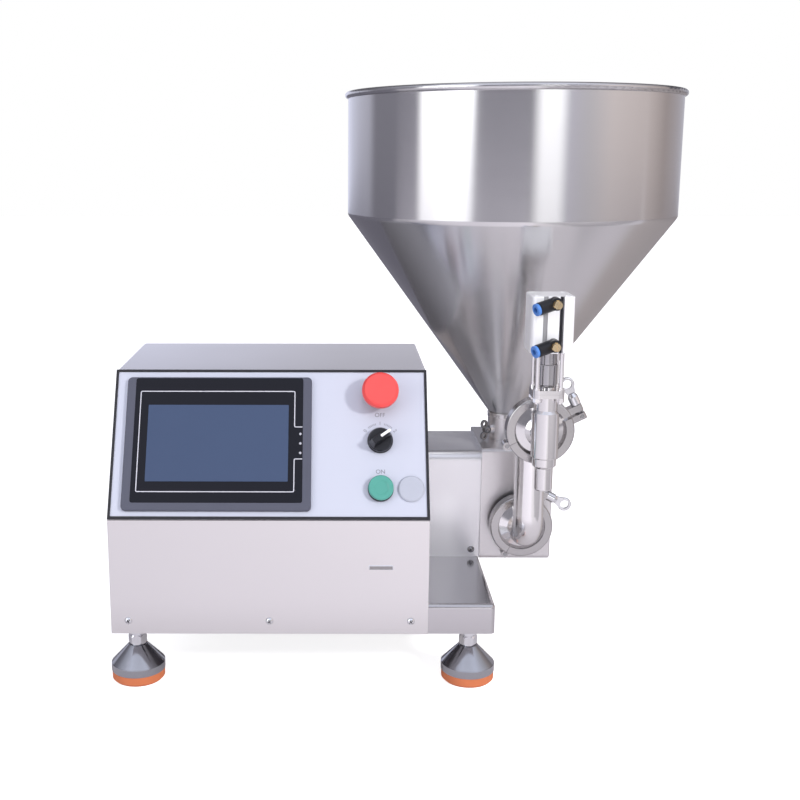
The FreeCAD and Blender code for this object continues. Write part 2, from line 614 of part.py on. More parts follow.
def make_device_collars():
    collars = []
    for (x, s), bore in zip(device_places(), (STEM_R + GAP, STEM_R + GAP, BUTTON_R + GAP)):
        top = SHEET + COLLAR_H
        ring = lathe([(bore, SHEET), (COLLAR_R, SHEET), (COLLAR_R, top - 1.2), (COLLAR_R - 0.9, top),
                      (bore, top)], V(x, s, 0))
        collars.append(on_panel(ring))
    return group(collars)


def make_contact_blocks():
    """Threaded barrel through the panel with a contact block behind it, one for each device."""
    blocks = []
    for x, s in device_places():
        barrel = rod(DEVICE_BARREL_R, SHEET + 14, V(x, s, -14))
        nut = hex_prism(27, 4, V(x, s, -4.2 - SHEET))
        body = rounded_plate(BLOCK_WIDTH, BLOCK_HEIGHT, BLOCK_DEPTH, 2, V(x, s, -14 - BLOCK_DEPTH))
        bore = rod(STEM_R + GAP, 40, V(x, s, -14 - 16))
        blocks.append(on_panel(fuse(barrel, nut, body).cut(bore)))
    return group(blocks)


def make_estop_stem():
    top = SHEET + COLLAR_H + GAP + ESTOP_TRAVEL + ESTOP_NECK_H
    stem = rod(STEM_R, top + 20, V(DEVICE_X, ESTOP_S, -20))
    return on_panel(fuse(stem, rod(STEM_R + 1.5, 3, V(DEVICE_X, ESTOP_S, top - 3))))


def make_estop_head():
    """Mushroom head with a rounded crown, bored from below for its stem."""
    bottom = SHEET + COLLAR_H + GAP + ESTOP_TRAVEL
    shoulder = bottom + ESTOP_NECK_H - 3
    stem_top = bottom + ESTOP_NECK_H
    crown = shoulder + ESTOP_HEAD_H
    head = lathe([(0, bottom), (ESTOP_NECK_R - 2, bottom), (ESTOP_NECK_R - 1, shoulder),
                  (ESTOP_R - 1, shoulder), (ESTOP_R, shoulder + 2), (ESTOP_R, crown - 5),
                  (ESTOP_R - 3, crown - 1.2), (0, crown)], V(DEVICE_X, ESTOP_S, 0))
    sharp = [e for e in head.Edges if e.Curve.TypeId == "Part::GeomCircle"
             and e.CenterOfMass.z > shoulder + 2.5 and e.Curve.Radius > 1]
    head = head.makeFillet(2.2, sharp)
    bore = lathe([(0, bottom - 1), (STEM_R + GAP, bottom - 1), (STEM_R + GAP, stem_top - 3 - GAP),
                  (STEM_R + 1.5 + GAP, stem_top - 3 - GAP), (STEM_R + 1.5 + GAP, stem_top + GAP),
                  (0, stem_top + GAP)], V(DEVICE_X, ESTOP_S, 0))
    return on_panel(head.cut(bore))


def make_selector_knob():
    """Round skirt with a tapered grip bar across it; the grip points to the right-hand position."""
    bottom = SHEET + COLLAR_H + GAP
    skirt = lathe([(0, 0), (SELECTOR_R, 0), (SELECTOR_R, 3.2), (SELECTOR_R - 1.6, SELECTOR_BASE_H),
                   (0, SELECTOR_BASE_H)])
    low, high = SELECTOR_GRIP_W / 2, SELECTOR_GRIP_W / 2 - 1.4
    reach = SELECTOR_R - 0.6
    grip_top = SELECTOR_BASE_H + SELECTOR_GRIP_H
    side = [V(-reach, -low, 3), V(-reach, low, 3), V(-reach, high, grip_top), V(-reach, -high, grip_top)]
    grip = prism(side, V(2 * reach, 0, 0)).common(lathe([(0, 0), (reach, 0), (reach, 4),
                                                         (reach - 3, grip_top), (0, grip_top)]))
    grip = grip.makeFillet(1.0, [e for e in grip.Edges if e.CenterOfMass.z > grip_top - 0.5])
    knob = fuse(skirt, grip, rod(STEM_R, 24, V(0, 0, -22)))
    turn = FreeCAD.Rotation(Z_AXIS, SELECTOR_REST_DEG)
    knob.Placement = FreeCAD.Placement(V(DEVICE_X, SELECTOR_S, bottom), turn)
    return on_panel(knob)


def make_start_button():
    top = SHEET + COLLAR_H + BUTTON_PROUD
    lip = SHEET + COLLAR_H + BUTTON_TRAVEL + GAP
    low = SHEET + GAP + BUTTON_TRAVEL
    cap = lathe([(0, low), (BUTTON_R, low), (BUTTON_R, lip), (BUTTON_LIP_R, lip), (BUTTON_LIP_R, top - 1.2),
                 (BUTTON_LIP_R - 1.2, top), (BUTTON_R - 3.2, top), (BUTTON_R - 5, top - 0.7),
                 (0, top - 0.7)], V(DEVICE_X, START_S, 0))
    return on_panel(fuse(cap, rod(STEM_R, 20, V(DEVICE_X, START_S, low - 19))))


def make_blanking_plug():
    disc = lathe([(0, SHEET), (PLUG_R, SHEET), (PLUG_R, SHEET + 1.4), (PLUG_R - 1.4, SHEET + 2.6),
                  (0, SHEET + 2.6)], V(PLUG_X, START_S, 0))
    stub = rod(PLUG_STUB_R, 9, V(PLUG_X, START_S, -8))
    nut = hex_prism(PLUG_NUT_AF, 4, V(PLUG_X, START_S, -SHEET - 4.2))
    return on_panel(fuse(disc, stub, nut))


# ---- electrics inside the console ----------------------------------------------------------------
def make_power_supply():
    """Vented box with a terminal strip behind it, on the floor of the tray."""
    x0, x1 = SUPPLY_LEFT, SUPPLY_LEFT + SUPPLY_WIDTH
    y0, y1 = SUPPLY_FRONT, SUPPLY_FRONT + SUPPLY_LENGTH
    top = TRAY_HEIGHT + SUPPLY_HEIGHT
    body = box(x0, x1, y0, y1, TRAY_HEIGHT, top)
    span = (SUPPLY_VENTS - 1) * SUPPLY_VENT_PITCH + SUPPLY_VENT_W
    first = (x0 + x1 - span) / 2
    lefts = [first + i * SUPPLY_VENT_PITCH for i in range(SUPPLY_VENTS)]
    vents = [box(x, x + SUPPLY_VENT_W, y0 + SUPPLY_MARGIN, y1 - SUPPLY_MARGIN, top - 2, top + 1)
             for x in lefts]
    strip = box(x0 + 6, x1 - 6, y1, y1 + STRIP_DEPTH, TRAY_HEIGHT, TRAY_HEIGHT + STRIP_HEIGHT)
    return fuse(body.cut(group(vents)), strip)


# ---- levelling feet ------------------------------------------------------------------------------
def make_foot_pads():
    z0, z1 = -FOOT_HEIGHT, BASE_BOTTOM
    outline = [(0, z0), (FOOT_R - 3, z0), (FOOT_R - 0.6, z0 + 2.5), (FOOT_R - 0.6, z1), (0, z1)]
    return group([lathe(outline, V(x, y, 0)) for x, y in FEET])


def make_foot_bases():
    z0 = BASE_BOTTOM
    band = z0 + BASE_BAND_H
    bore = STUD_R + RUN
    outline = [(bore, z0 + 3), (0, z0 + 3), (0, z0), (FOOT_R, z0), (FOOT_R, band - 0.8),
               (FOOT_R - 0.8, band), (BASE_NECK_R, BASE_TOP), (bore, BASE_TOP)]
    return group([lathe(outline, V(x, y, 0)) for x, y in FEET])


def make_foot_stud(x, y):
    """Threaded stud that turns in the socket of the foot's base, with its two hexagons locked together."""
    bottom = BASE_BOTTOM + 3 + GAP
    stud = rod(STUD_R, TRAY_SHEET + WELD_NUT_H + 4 - bottom, V(x, y, bottom))
    stud = stud.makeChamfer(0.8, [e for e in stud.Edges if e.Curve.TypeId == "Part::GeomCircle"])
    low = BASE_TOP + GAP
    return fuse(stud, hex_prism(STUD_NUT_AF, STUD_NUT_H, V(x, y, low)),
                hex_prism(STUD_NUT_AF, STUD_NUT_H, V(x, y, low + STUD_NUT_H)))


def make_foot_weld_nuts():
    """The nut inside the tray that each stud screws into."""
    nuts = []
    for x, y in FEET:
        nut = hex_prism(STUD_NUT_AF, WELD_NUT_H, V(x, y, TRAY_SHEET))
        nuts.append(nut.cut(rod(STUD_R + RUN, 40, V(x, y, -10))))
    return group(nuts)


# ---- drive ---------------------------------------------------------------------------------------
def on_shaft(shape, y):
    """Set a shape drawn about its local z so that z runs along the pump shaft at this y."""
    shape.Placement = FreeCAD.Placement(V(0, y, AXIS_Z), FreeCAD.Rotation(V(1, 1, 1), 120))
    return shape


def obround(radius, x0, x1):
    """Solid round both pump shafts: two cylinders joined by a block."""
    ends = [rod(radius, x1 - x0, V(x0, y, AXIS_Z), X_AXIS) for y in (DRIVE_Y, IDLER_Y)]
    return fuse(box(x0, x1, DRIVE_Y, IDLER_Y, AXIS_Z - radius, AXIS_Z + radius), *ends)


def make_servo_motor():
    x1 = CASE_LEFT - GEARBOX_LENGTH
    x0 = x1 - MOTOR_LENGTH
    half = MOTOR_SIZE / 2
    body = box(x0, x1, DRIVE_Y - half, DRIVE_Y + half, AXIS_Z - half, AXIS_Z + half)
    body = body.makeFillet(5, edges_along(body, X_AXIS))
    grooves = [box(x0 + 8, x1 - 8, DRIVE_Y + side * half - 1.5, DRIVE_Y + side * half + 1.5,
                   AXIS_Z - 20 + 8 * i, AXIS_Z - 17 + 8 * i) for side in (-1, 1) for i in range(6)]
    encoder = box(x0 - 18, x0, DRIVE_Y - half + 5, DRIVE_Y + half - 5, AXIS_Z - half + 5, AXIS_Z + half - 5)
    plug = box(x0 + 10, x0 + 34, DRIVE_Y - 10, DRIVE_Y + 10, AXIS_Z - half - 9, AXIS_Z - half)
    return fuse(body.cut(group(grooves)), encoder, plug)


def make_planetary_gearbox():
    x0 = CASE_LEFT - GEARBOX_LENGTH
    half = MOTOR_SIZE / 2
    outline = [(0, x0 + 8), (GEARBOX_R, x0 + 8), (GEARBOX_R, x0 + GEARBOX_RING),
               (GEARBOX_R - 3, x0 + GEARBOX_RING + 2),
               (GEARBOX_R - 3, CASE_LEFT), (0, CASE_LEFT)]
    body = on_shaft(lathe(outline), DRIVE_Y)
    flange = box(x0, x0 + 8, DRIVE_Y - half, DRIVE_Y + half, AXIS_Z - half, AXIS_Z + half)
    flange = flange.makeFillet(5, edges_along(flange, X_AXIS))
    bore = rod(SHAFT_R + RUN, SHAFT_TAIL + 6, V(CASE_LEFT - SHAFT_TAIL - 2, DRIVE_Y, AXIS_Z), X_AXIS)
    return fuse(body, flange).cut(bore)


def make_gear_case():
    """Cup round both gears, open to the mounting plate, with the left-hand bearing seats in its end."""
    tip_r = PITCH_R + GEAR_MODULE
    case = obround(tip_r + 2 + CASE_WALL, CASE_LEFT, PLATE_LEFT)
    cuts = [obround(tip_r + 2, CASE_LEFT + CASE_END, PLATE_LEFT + 1)]
    cuts += [rod(BEARING_R + SEAT, BEARING_W + 1, V(CASE_LEFT + CASE_END - BEARING_W, y, AXIS_Z), X_AXIS)
             for y in (DRIVE_Y, IDLER_Y)]
    cuts.append(rod(SHAFT_R + GAP, CASE_END + 2, V(CASE_LEFT - 1, DRIVE_Y, AXIS_Z), X_AXIS))
    return case.cut(group(cuts))


def bearing_places():
    lefts = (CASE_LEFT + CASE_END - BEARING_W, PLATE_LEFT)
    return [(x, y) for x in lefts for y in (DRIVE_Y, IDLER_Y)]


def make_shaft_bearings():
    outline = [(SHAFT_R + RUN, 0), (8.6, 0), (8.6, 0.9), (BEARING_R - 2.6, 0.9), (BEARING_R - 2.6, 0),
               (BEARING_R, 0), (BEARING_R, BEARING_W), (BEARING_R - 2.6, BEARING_W),
               (BEARING_R - 2.6, BEARING_W - 0.9), (8.6, BEARING_W - 0.9), (8.6, BEARING_W),
               (SHAFT_R + RUN, BEARING_W)]
    return group([lathe(outline, V(x, y, AXIS_Z), X_AXIS) for x, y in bearing_places()])


def make_pump_plate():
    inset = TRAY_SHEET + SEAT
    plate = box(PLATE_LEFT, TRAY_WIDTH, HOUSING_FRONT + inset, DEPTH - inset, TRAY_HEIGHT,
                HOUSING_TOP - inset)
    plate = plate.makeFillet(HOUSING_BEND - inset, edges_along(plate, X_AXIS, lambda c: c.z > AXIS_Z))
    cuts = []
    for y in (DRIVE_Y, IDLER_Y):
        cuts.append(rod(BEARING_R + SEAT, BEARING_W + 1, V(PLATE_LEFT - 1, y, AXIS_Z), X_AXIS))
        cuts.append(rod(SHAFT_R + GAP, PLATE_THICK + 2, V(PLATE_LEFT - 1, y, AXIS_Z), X_AXIS))
    middle = PLATE_LEFT + PLATE_THICK / 2
    cuts += [rod(SCREW_SHANK_R + SEAT, PLATE_HOLE_DEPTH + 10, V(middle, y, PLATE_SCREW_Z), Y_AXIS)
             for y in (HOUSING_FRONT - 10, DEPTH - PLATE_HOLE_DEPTH)]
    return plate.cut(group(cuts))


def make_drive_housing():
    t = TRAY_SHEET
    cover = box(CONSOLE_WIDTH, TRAY_WIDTH, HOUSING_FRONT, DEPTH, TRAY_HEIGHT, HOUSING_TOP)
    cover = cover.makeFillet(HOUSING_BEND, edges_along(cover, X_AXIS, lambda c: c.z > AXIS_Z))
    inside = box(CONSOLE_WIDTH - 1, TRAY_WIDTH + 1, HOUSING_FRONT + t, DEPTH - t, TRAY_HEIGHT - 1,
                 HOUSING_TOP - t)
    inside = inside.makeFillet(HOUSING_BEND - t, edges_along(inside, X_AXIS, lambda c: c.z > AXIS_Z))
    middle = PLATE_LEFT + PLATE_THICK / 2
    holes = [rod(SCREW_SHANK_R + SEAT, t + 2, V(middle, y, PLATE_SCREW_Z), Y_AXIS)
             for y in (HOUSING_FRONT - 1, DEPTH - t - 1)]
    return cover.cut(group([inside] + holes))


def make_housing_screws():
    middle = PLATE_LEFT + PLATE_THICK / 2
    front = panel_screw(V(middle, HOUSING_FRONT, PLATE_SCREW_Z), V(0, -1, 0))
    rear = panel_screw(V(middle, DEPTH, PLATE_SCREW_Z), Y_AXIS)
    return group([front, rear])


def involute_gear(teeth, turn_deg):
    """Spur gear with involute flanks, drawn about local z from 0 to its width."""
    pitch_r = GEAR_MODULE * teeth / 2
    pressure = math.radians(PRESSURE_ANGLE)
    base_r = pitch_r * math.cos(pressure)
    tip_r = pitch_r + GEAR_MODULE
    root_r = pitch_r - 1.25 * GEAR_MODULE
    half_tooth = math.pi / (2 * teeth) - GEAR_BACKLASH / pitch_r + math.tan(pressure) - pressure
    radii = [base_r + (tip_r - base_r) * (i / 6.0) ** 1.5 for i in range(7)]

    def polar(radius, angle):
        return V(radius * math.cos(angle), radius * math.sin(angle), 0)

    def lag(radius):
        unwind = math.acos(min(1.0, base_r / radius))
        return half_tooth - (math.tan(unwind) - unwind)

    edges = []
    for i in range(teeth):
        middle = math.radians(turn_deg) + 2 * math.pi * i / teeth
        following = middle + 2 * math.pi / teeth
        rise = [polar(r, middle - lag(r)) for r in radii]
        fall = [polar(r, middle + lag(r)) for r in reversed(radii)]
        flanks = []
        for points in (rise, fall):
            curve = Part.BSplineCurve()
            curve.interpolate(points)
            flanks.append(curve.toShape())
        edges.append(Part.makeLine(polar(root_r, middle - half_tooth), rise[0]))
        edges.append(flanks[0])
        edges.append(Part.Arc(rise[-1], polar(tip_r, middle), fall[0]).toShape())
        edges.append(flanks[1])
        edges.append(Part.makeLine(fall[-1], polar(root_r, middle + half_tooth)))
        edges.append(Part.Arc(polar(root_r, middle + half_tooth), polar(root_r, (middle + following) / 2),
                              polar(root_r, following - half_tooth)).toShape())
    return Part.Face(Part.Wire(edges)).extrude(V(0, 0, GEAR_WIDTH))


def gear_shaft(x0, y, turn_deg):
    gear = involute_gear(GEAR_TEETH, turn_deg)
    gear.translate(V(0, 0, GEAR_LEFT))
    shaft = rod(SHAFT_R, ROTOR_RIGHT - ROTOR_CAP - GAP - x0, V(0, 0, x0))
    shoulder = rod(SHAFT_R + 2.5, GEAR_WIDTH + 5, V(0, 0, GEAR_LEFT - 2.5))
    return on_shaft(fuse(gear, shoulder, shaft), y)


def make_drive_shaft():
    return gear_shaft(CASE_LEFT - SHAFT_TAIL, DRIVE_Y, 0)


def make_idler_shaft():
    # half a tooth round, so that its gap meets the tooth of the driving gear
    return gear_shaft(CASE_LEFT + CASE_END - BEARING_W + GAP, IDLER_Y, 180.0 / GEAR_TEETH)


# ---- pump ----------------------------------------------------------------------------------------
def lobe_outline(turn_deg):
    """Closed curve of a rotor: epicycloid lobes and hypocycloid hollows on one pitch circle."""
    rolling = PITCH_R / (2 * LOBES)
    step = math.pi / LOBES
    turn = math.radians(turn_deg)
    raw = []
    for arc in range(2 * LOBES):
        for k in range(10):
            t = step * k / 10.0
            if arc % 2 == 0:
                x = (PITCH_R + rolling) * math.cos(t) - rolling * math.cos((PITCH_R + rolling) / rolling * t)
                y = (PITCH_R + rolling) * math.sin(t) - rolling * math.sin((PITCH_R + rolling) / rolling * t)
            else:
                x = (PITCH_R - rolling) * math.cos(t) + rolling * math.cos((PITCH_R - rolling) / rolling * t)
                y = (PITCH_R - rolling) * math.sin(t) - rolling * math.sin((PITCH_R - rolling) / rolling * t)
            spin = turn + step * (arc - 0.5)
            raw.append((x * math.cos(spin) - y * math.sin(spin), x * math.sin(spin) + y * math.cos(spin)))
    points = []
    for i, (x, y) in enumerate(raw):
        ahead, behind = raw[(i + 1) % len(raw)], raw[i - 1]
        dx, dy = ahead[0] - behind[0], ahead[1] - behind[1]
        size = math.hypot(dx, dy)
        points.append(V(x - LOBE_RELIEF * dy / size, y + LOBE_RELIEF * dx / size, 0))
    curve = Part.BSplineCurve()
    curve.interpolate(points, PeriodicFlag=True)
    return Part.Wire([curve.toShape()])


def lobe_rotor(y, turn_deg):
    rotor = Part.Face(lobe_outline(turn_deg)).extrude(V(0, 0, ROTOR_RIGHT - ROTOR_LEFT))
    rotor.translate(V(0, 0, ROTOR_LEFT))
    bore = rod(SHAFT_R + RUN, ROTOR_RIGHT - ROTOR_LEFT - ROTOR_CAP, V(0, 0, ROTOR_LEFT))
    return on_shaft(rotor.cut(bore), y)


def make_drive_rotor():
    return lobe_rotor(DRIVE_Y, 0)


def make_idler_rotor():
    # a hollow faces the lobe of the driving rotor
    return lobe_rotor(IDLER_Y, 180.0 + 180.0 / LOBES)


def pump_block(x0, x1):
    block = box(x0, x1, PUMP_FRONT, PUMP_FRONT + PUMP_DEPTH, PUMP_BOTTOM, PUMP_TOP)
    return block.makeFillet(PUMP_CORNER_R, edges_along(block, X_AXIS))


def ferrule_profile(lip_r, tube_r, bore_r, length):
    """Clamp ferrule as (radius, height) points; the joint face is at height 0."""
    taper = (lip_r - tube_r) * math.tan(math.radians(LIP_TAPER_DEG))
    return [(bore_r, 0), (lip_r, 0), (lip_r, LIP_EDGE), (tube_r, LIP_EDGE + taper), (tube_r, length),
            (bore_r, length)]


def lock_point(reach):
    """Point on the axis of the neck's locking screw, at a distance from the neck's centre line."""
    turn = math.radians(LOCK_SCREW_DEG)
    return V(HOPPER_X + reach * math.cos(turn), AXIS_MID_Y + reach * math.sin(turn), LOCK_SCREW_Z)


def cover_bolt_places():
    return [(y, z) for y in (PUMP_FRONT + COVER_BOLT_INSET, PUMP_FRONT + PUMP_DEPTH - COVER_BOLT_INSET)
            for z in (PUMP_BOTTOM + COVER_BOLT_INSET, PUMP_TOP - COVER_BOLT_INSET)]


def make_pump_body():
    socket = rod(SOCKET_R, SOCKET_TOP - PUMP_TOP + 5, V(HOPPER_X, AXIS_MID_Y, PUMP_TOP - 5))
    boss = rod(LOCK_BOSS_R, LOCK_BOSS_REACH, lock_point(0), lock_point(1) - lock_point(0))
    half_seal = GASKET_JOINT / 2
    ferrule = lathe(ferrule_profile(OUTLET_LIP_R, PIPE_R, OUTLET_BORE_R, OUTLET_STUB + 5),
                    V(OUTLET_X, OUTLET_FACE + half_seal, OUTLET_Z), Y_AXIS)
    body = fuse(pump_block(TRAY_WIDTH, BODY_RIGHT), socket, boss, ferrule)
    cuts = [rod(CHAMBER_R, BODY_RIGHT - CHAMBER_LEFT + 1, V(CHAMBER_LEFT, y, AXIS_Z), X_AXIS)
            for y in (DRIVE_Y, IDLER_Y)]
    cuts += [rod(SHAFT_R + GAP, PUMP_BACK_WALL + 2, V(TRAY_WIDTH - 1, y, AXIS_Z), X_AXIS)
             for y in (DRIVE_Y, IDLER_Y)]
    cuts += [rod(SEAL_R + SEAT, SEAL_W + 1, V(TRAY_WIDTH - 1, y, AXIS_Z), X_AXIS) for y in (DRIVE_Y, IDLER_Y)]
    cuts.append(rod(SPIGOT_BORE_R, PUMP_TOP - AXIS_Z + 10, V(HOPPER_X, AXIS_MID_Y, AXIS_Z)))
    cuts.append(rod(SPIGOT_R + SEAT, SOCKET_TOP - SPIGOT_BOTTOM + 1.5,
                    V(HOPPER_X, AXIS_MID_Y, SPIGOT_BOTTOM - 0.5)))
    cuts.append(rod(NECK_SEAL_R, NECK_SEAL_H, V(HOPPER_X, AXIS_MID_Y, NECK_SEAL_Z)))
    cuts.append(rod(LOCK_SCREW_R + RUN, 12, lock_point(SPIGOT_R - 1), lock_point(1) - lock_point(0)))
    cuts.append(rod(OUTLET_BORE_R, AXIS_MID_Y - OUTLET_FACE + 5, V(OUTLET_X, OUTLET_FACE - 5, OUTLET_Z),
                    Y_AXIS))
    cuts.append(Part.makeSphere(OUTLET_BORE_R, V(OUTLET_X, AXIS_MID_Y, OUTLET_Z)))
    cuts.append(rod(OUTLET_BORE_R, AXIS_Z - OUTLET_Z, V(OUTLET_X, AXIS_MID_Y, OUTLET_Z)))
    cuts += [rod(COVER_BOLT_R + SEAT, 24, V(BODY_RIGHT - 22, y, z), X_AXIS) for y, z in cover_bolt_places()]
    cuts.append(cover_groove(BODY_RIGHT - 2, BODY_RIGHT + 1, 0))
    return body.cut(group(cuts))


def cover_groove(x0, x1, inset):
    outer = obround(CHAMBER_R + 5.2 - inset, x0, x1)
    return outer.cut(obround(CHAMBER_R + 2.4 + inset, x0 - 1, x1 + 1))


def make_pump_cover():
    cover = pump_block(BODY_RIGHT, COVER_RIGHT)
    cover = cover.makeChamfer(1.5, [e for e in cover.Edges if e.CenterOfMass.x > COVER_RIGHT - 0.01])
    cuts = []
    for y, z in cover_bolt_places():
        cuts.append(rod(COVER_BOLT_R + SEAT, COVER_THICK + 2, V(BODY_RIGHT - 1, y, z), X_AXIS))
        cuts.append(rod(COVER_BOLT_HEAD_R + SEAT, COVER_BOLT_HEAD_H + 2,
                        V(COVER_RIGHT - COVER_BOLT_HEAD_H - 0.5, y, z), X_AXIS))
    return cover.cut(group(cuts))


def make_cover_bolts():
    bolts = []
    seat = COVER_RIGHT - COVER_BOLT_HEAD_H - 0.5
    tip = BODY_RIGHT - COVER_BOLT_GRIP
    for y, z in cover_bolt_places():
        shank = rod(COVER_BOLT_R, seat - tip, V(tip, y, z), X_AXIS)
        head = rod(COVER_BOLT_HEAD_R, COVER_BOLT_HEAD_H, V(seat, y, z), X_AXIS)
        socket = hex_prism(COVER_BOLT_AF, COVER_BOLT_AF, V(COVER_RIGHT - COVER_SOCKET_DEPTH, y, z), X_AXIS)
        bolts.append(fuse(shank, head).cut(socket))
    return group(bolts)


def make_product_seals():
    """Rubber seals: both pipe joints, the neck, the pump cover, both shafts and the valve stem."""
    half = GASKET_JOINT / 2
    seals = [lathe([(PIPE_R - PIPE_WALL, -half), (OUTLET_LIP_R - 2, -half), (OUTLET_LIP_R - 2, half),
                    (PIPE_R - PIPE_WALL, half)], V(OUTLET_X, y, z), Y_AXIS)
             for y, z in ((OUTLET_FACE, OUTLET_Z), (UPPER_FACE, UPPER_JOINT_Z))]
    inner, outer, top = SPIGOT_R + SEAT, NECK_SEAL_R - 0.1, NECK_SEAL_H - 0.1
    seals.append(lathe([(inner, 0.1), (outer, 0.1), (outer, top), (inner, top)],
                       V(HOPPER_X, AXIS_MID_Y, NECK_SEAL_Z)))
    seals.append(cover_groove(BODY_RIGHT - 1.9, BODY_RIGHT - 0.1, 0.1))
    seals += [lathe([(SHAFT_R + RUN, 0), (SEAL_R, 0), (SEAL_R, SEAL_W - 0.2), (SHAFT_R + RUN, SEAL_W - 0.2)],
                    V(TRAY_WIDTH + 0.1, y, AXIS_Z), X_AXIS) for y in (DRIVE_Y, IDLER_Y)]
    seals.append(stem_packing())
    return group(seals)


# ---- hopper --------------------------------------------------------------------------------------
def make_hopper():
    slope = (CREASE_Z - CONE_END_Z) / (HOPPER_R - CONE_END_R)
    lift = HOPPER_WALL * math.sqrt(1 + slope ** 2)
    inner_r = HOPPER_R - HOPPER_WALL
    crease_in = CREASE_Z - HOPPER_WALL * slope + lift
    throat = CONE_END_Z + (SPIGOT_BORE_R - CONE_END_R) * slope + lift
    outline = [(HOPPER_R, RIM_Z), (HOPPER_R, CREASE_Z), (CONE_END_R, CONE_END_Z),
               (COLLAR_RING_R, SOCKET_TOP + COLLAR_RING_H - 0.8), (COLLAR_RING_R, SOCKET_TOP + SEAT),
               (SPIGOT_R, SOCKET_TOP + SEAT), (SPIGOT_R, SPIGOT_BOTTOM), (SPIGOT_BORE_R, SPIGOT_BOTTOM),
               (SPIGOT_BORE_R, throat), (inner_r, crease_in), (inner_r, RIM_Z)]
    bowl = lathe(outline)
    crease = [e for e in bowl.Edges if e.Curve.TypeId == "Part::GeomCircle" and e.Curve.Radius > 150
              and e.CenterOfMass.z < CREASE_Z + 10]
    bowl = bowl.makeFillet(CREASE_R, crease)
    bead = Part.makeTorus(HOPPER_R, BEAD_R, V(0, 0, RIM_Z), Z_AXIS)
    bowl = fuse(bowl, bead)
    bowl.translate(V(HOPPER_X, AXIS_MID_Y, 0))
    return bowl


def flat_loop(radius, thick, x, z):
    """Disc with rounded edges whose middle is at (x, z), its flat sides facing along local y."""
    loop = rod(radius, thick, V(x, -thick / 2, z), Y_AXIS)
    return loop.makeFillet(thick * 0.3, [e for e in loop.Edges if e.Curve.TypeId == "Part::GeomCircle"])


def two_wings():
    """Hub about local z with a looped wing rising on each side along local x."""
    parts = [lathe([(0, 0), (WING_HUB_R, 0), (WING_HUB_R, WING_HUB_H - 2.9), (WING_HUB_R - 1.4, WING_HUB_H),
                    (0, WING_HUB_H)])]
    holes = []
    for side in (-1, 1):
        parts.append(flat_loop(WING_LOOP_R, WING_THICK, side * WING_OFFSET, WING_LIFT))
        corners = [(WING_HUB_R - 2, 0.6), (WING_HUB_R - 2, WING_HUB_H - 0.6),
                   (WING_OFFSET - 0.55 * WING_LOOP_R, WING_LIFT + 0.2 * WING_LOOP_R),
                   (WING_OFFSET + 0.2 * WING_LOOP_R, WING_LIFT - 0.75 * WING_LOOP_R)]
        parts.append(prism([V(side * x, -WING_THICK / 2, z) for x, z in corners], V(0, WING_THICK, 0)))
        holes.append(rod(WING_HOLE_R, WING_THICK + 2, V(side * WING_OFFSET, -WING_THICK / 2 - 1, WING_LIFT),
                         Y_AXIS))
    return fuse(*parts).cut(group(holes))


def make_neck_wing_screw():
    """Screw with two wings that locks the hopper's spigot in the pump's socket."""
    wing = two_wings()
    shank_length = LOCK_BOSS_REACH - SPIGOT_R
    wing = fuse(wing, rod(LOCK_SCREW_R, shank_length + 1, V(0, 0, -shank_length)))
    turn = FreeCAD.Rotation(Z_AXIS, LOCK_SCREW_DEG).multiply(FreeCAD.Rotation(Y_AXIS, 90))
    wing.Placement = FreeCAD.Placement(lock_point(LOCK_BOSS_REACH + GAP), turn)
    return wing


# ---- clamp joints --------------------------------------------------------------------------------
def clamp_place(y, z, ear_deg, over_deg):
    """Place of a clamp: its ears at an angle round the pipe, turned over or not about the ears."""
    turn = FreeCAD.Rotation(X_AXIS, 90).multiply(FreeCAD.Rotation(Z_AXIS, ear_deg))
    return FreeCAD.Placement(V(OUTLET_X, y, z), turn.multiply(FreeCAD.Rotation(X_AXIS, over_deg)))


def clamp_places():
    return [clamp_place(OUTLET_FACE, OUTLET_Z, LOWER_EAR_DEG, 180),
            clamp_place(UPPER_FACE, UPPER_JOINT_Z, UPPER_EAR_DEG, 0)]


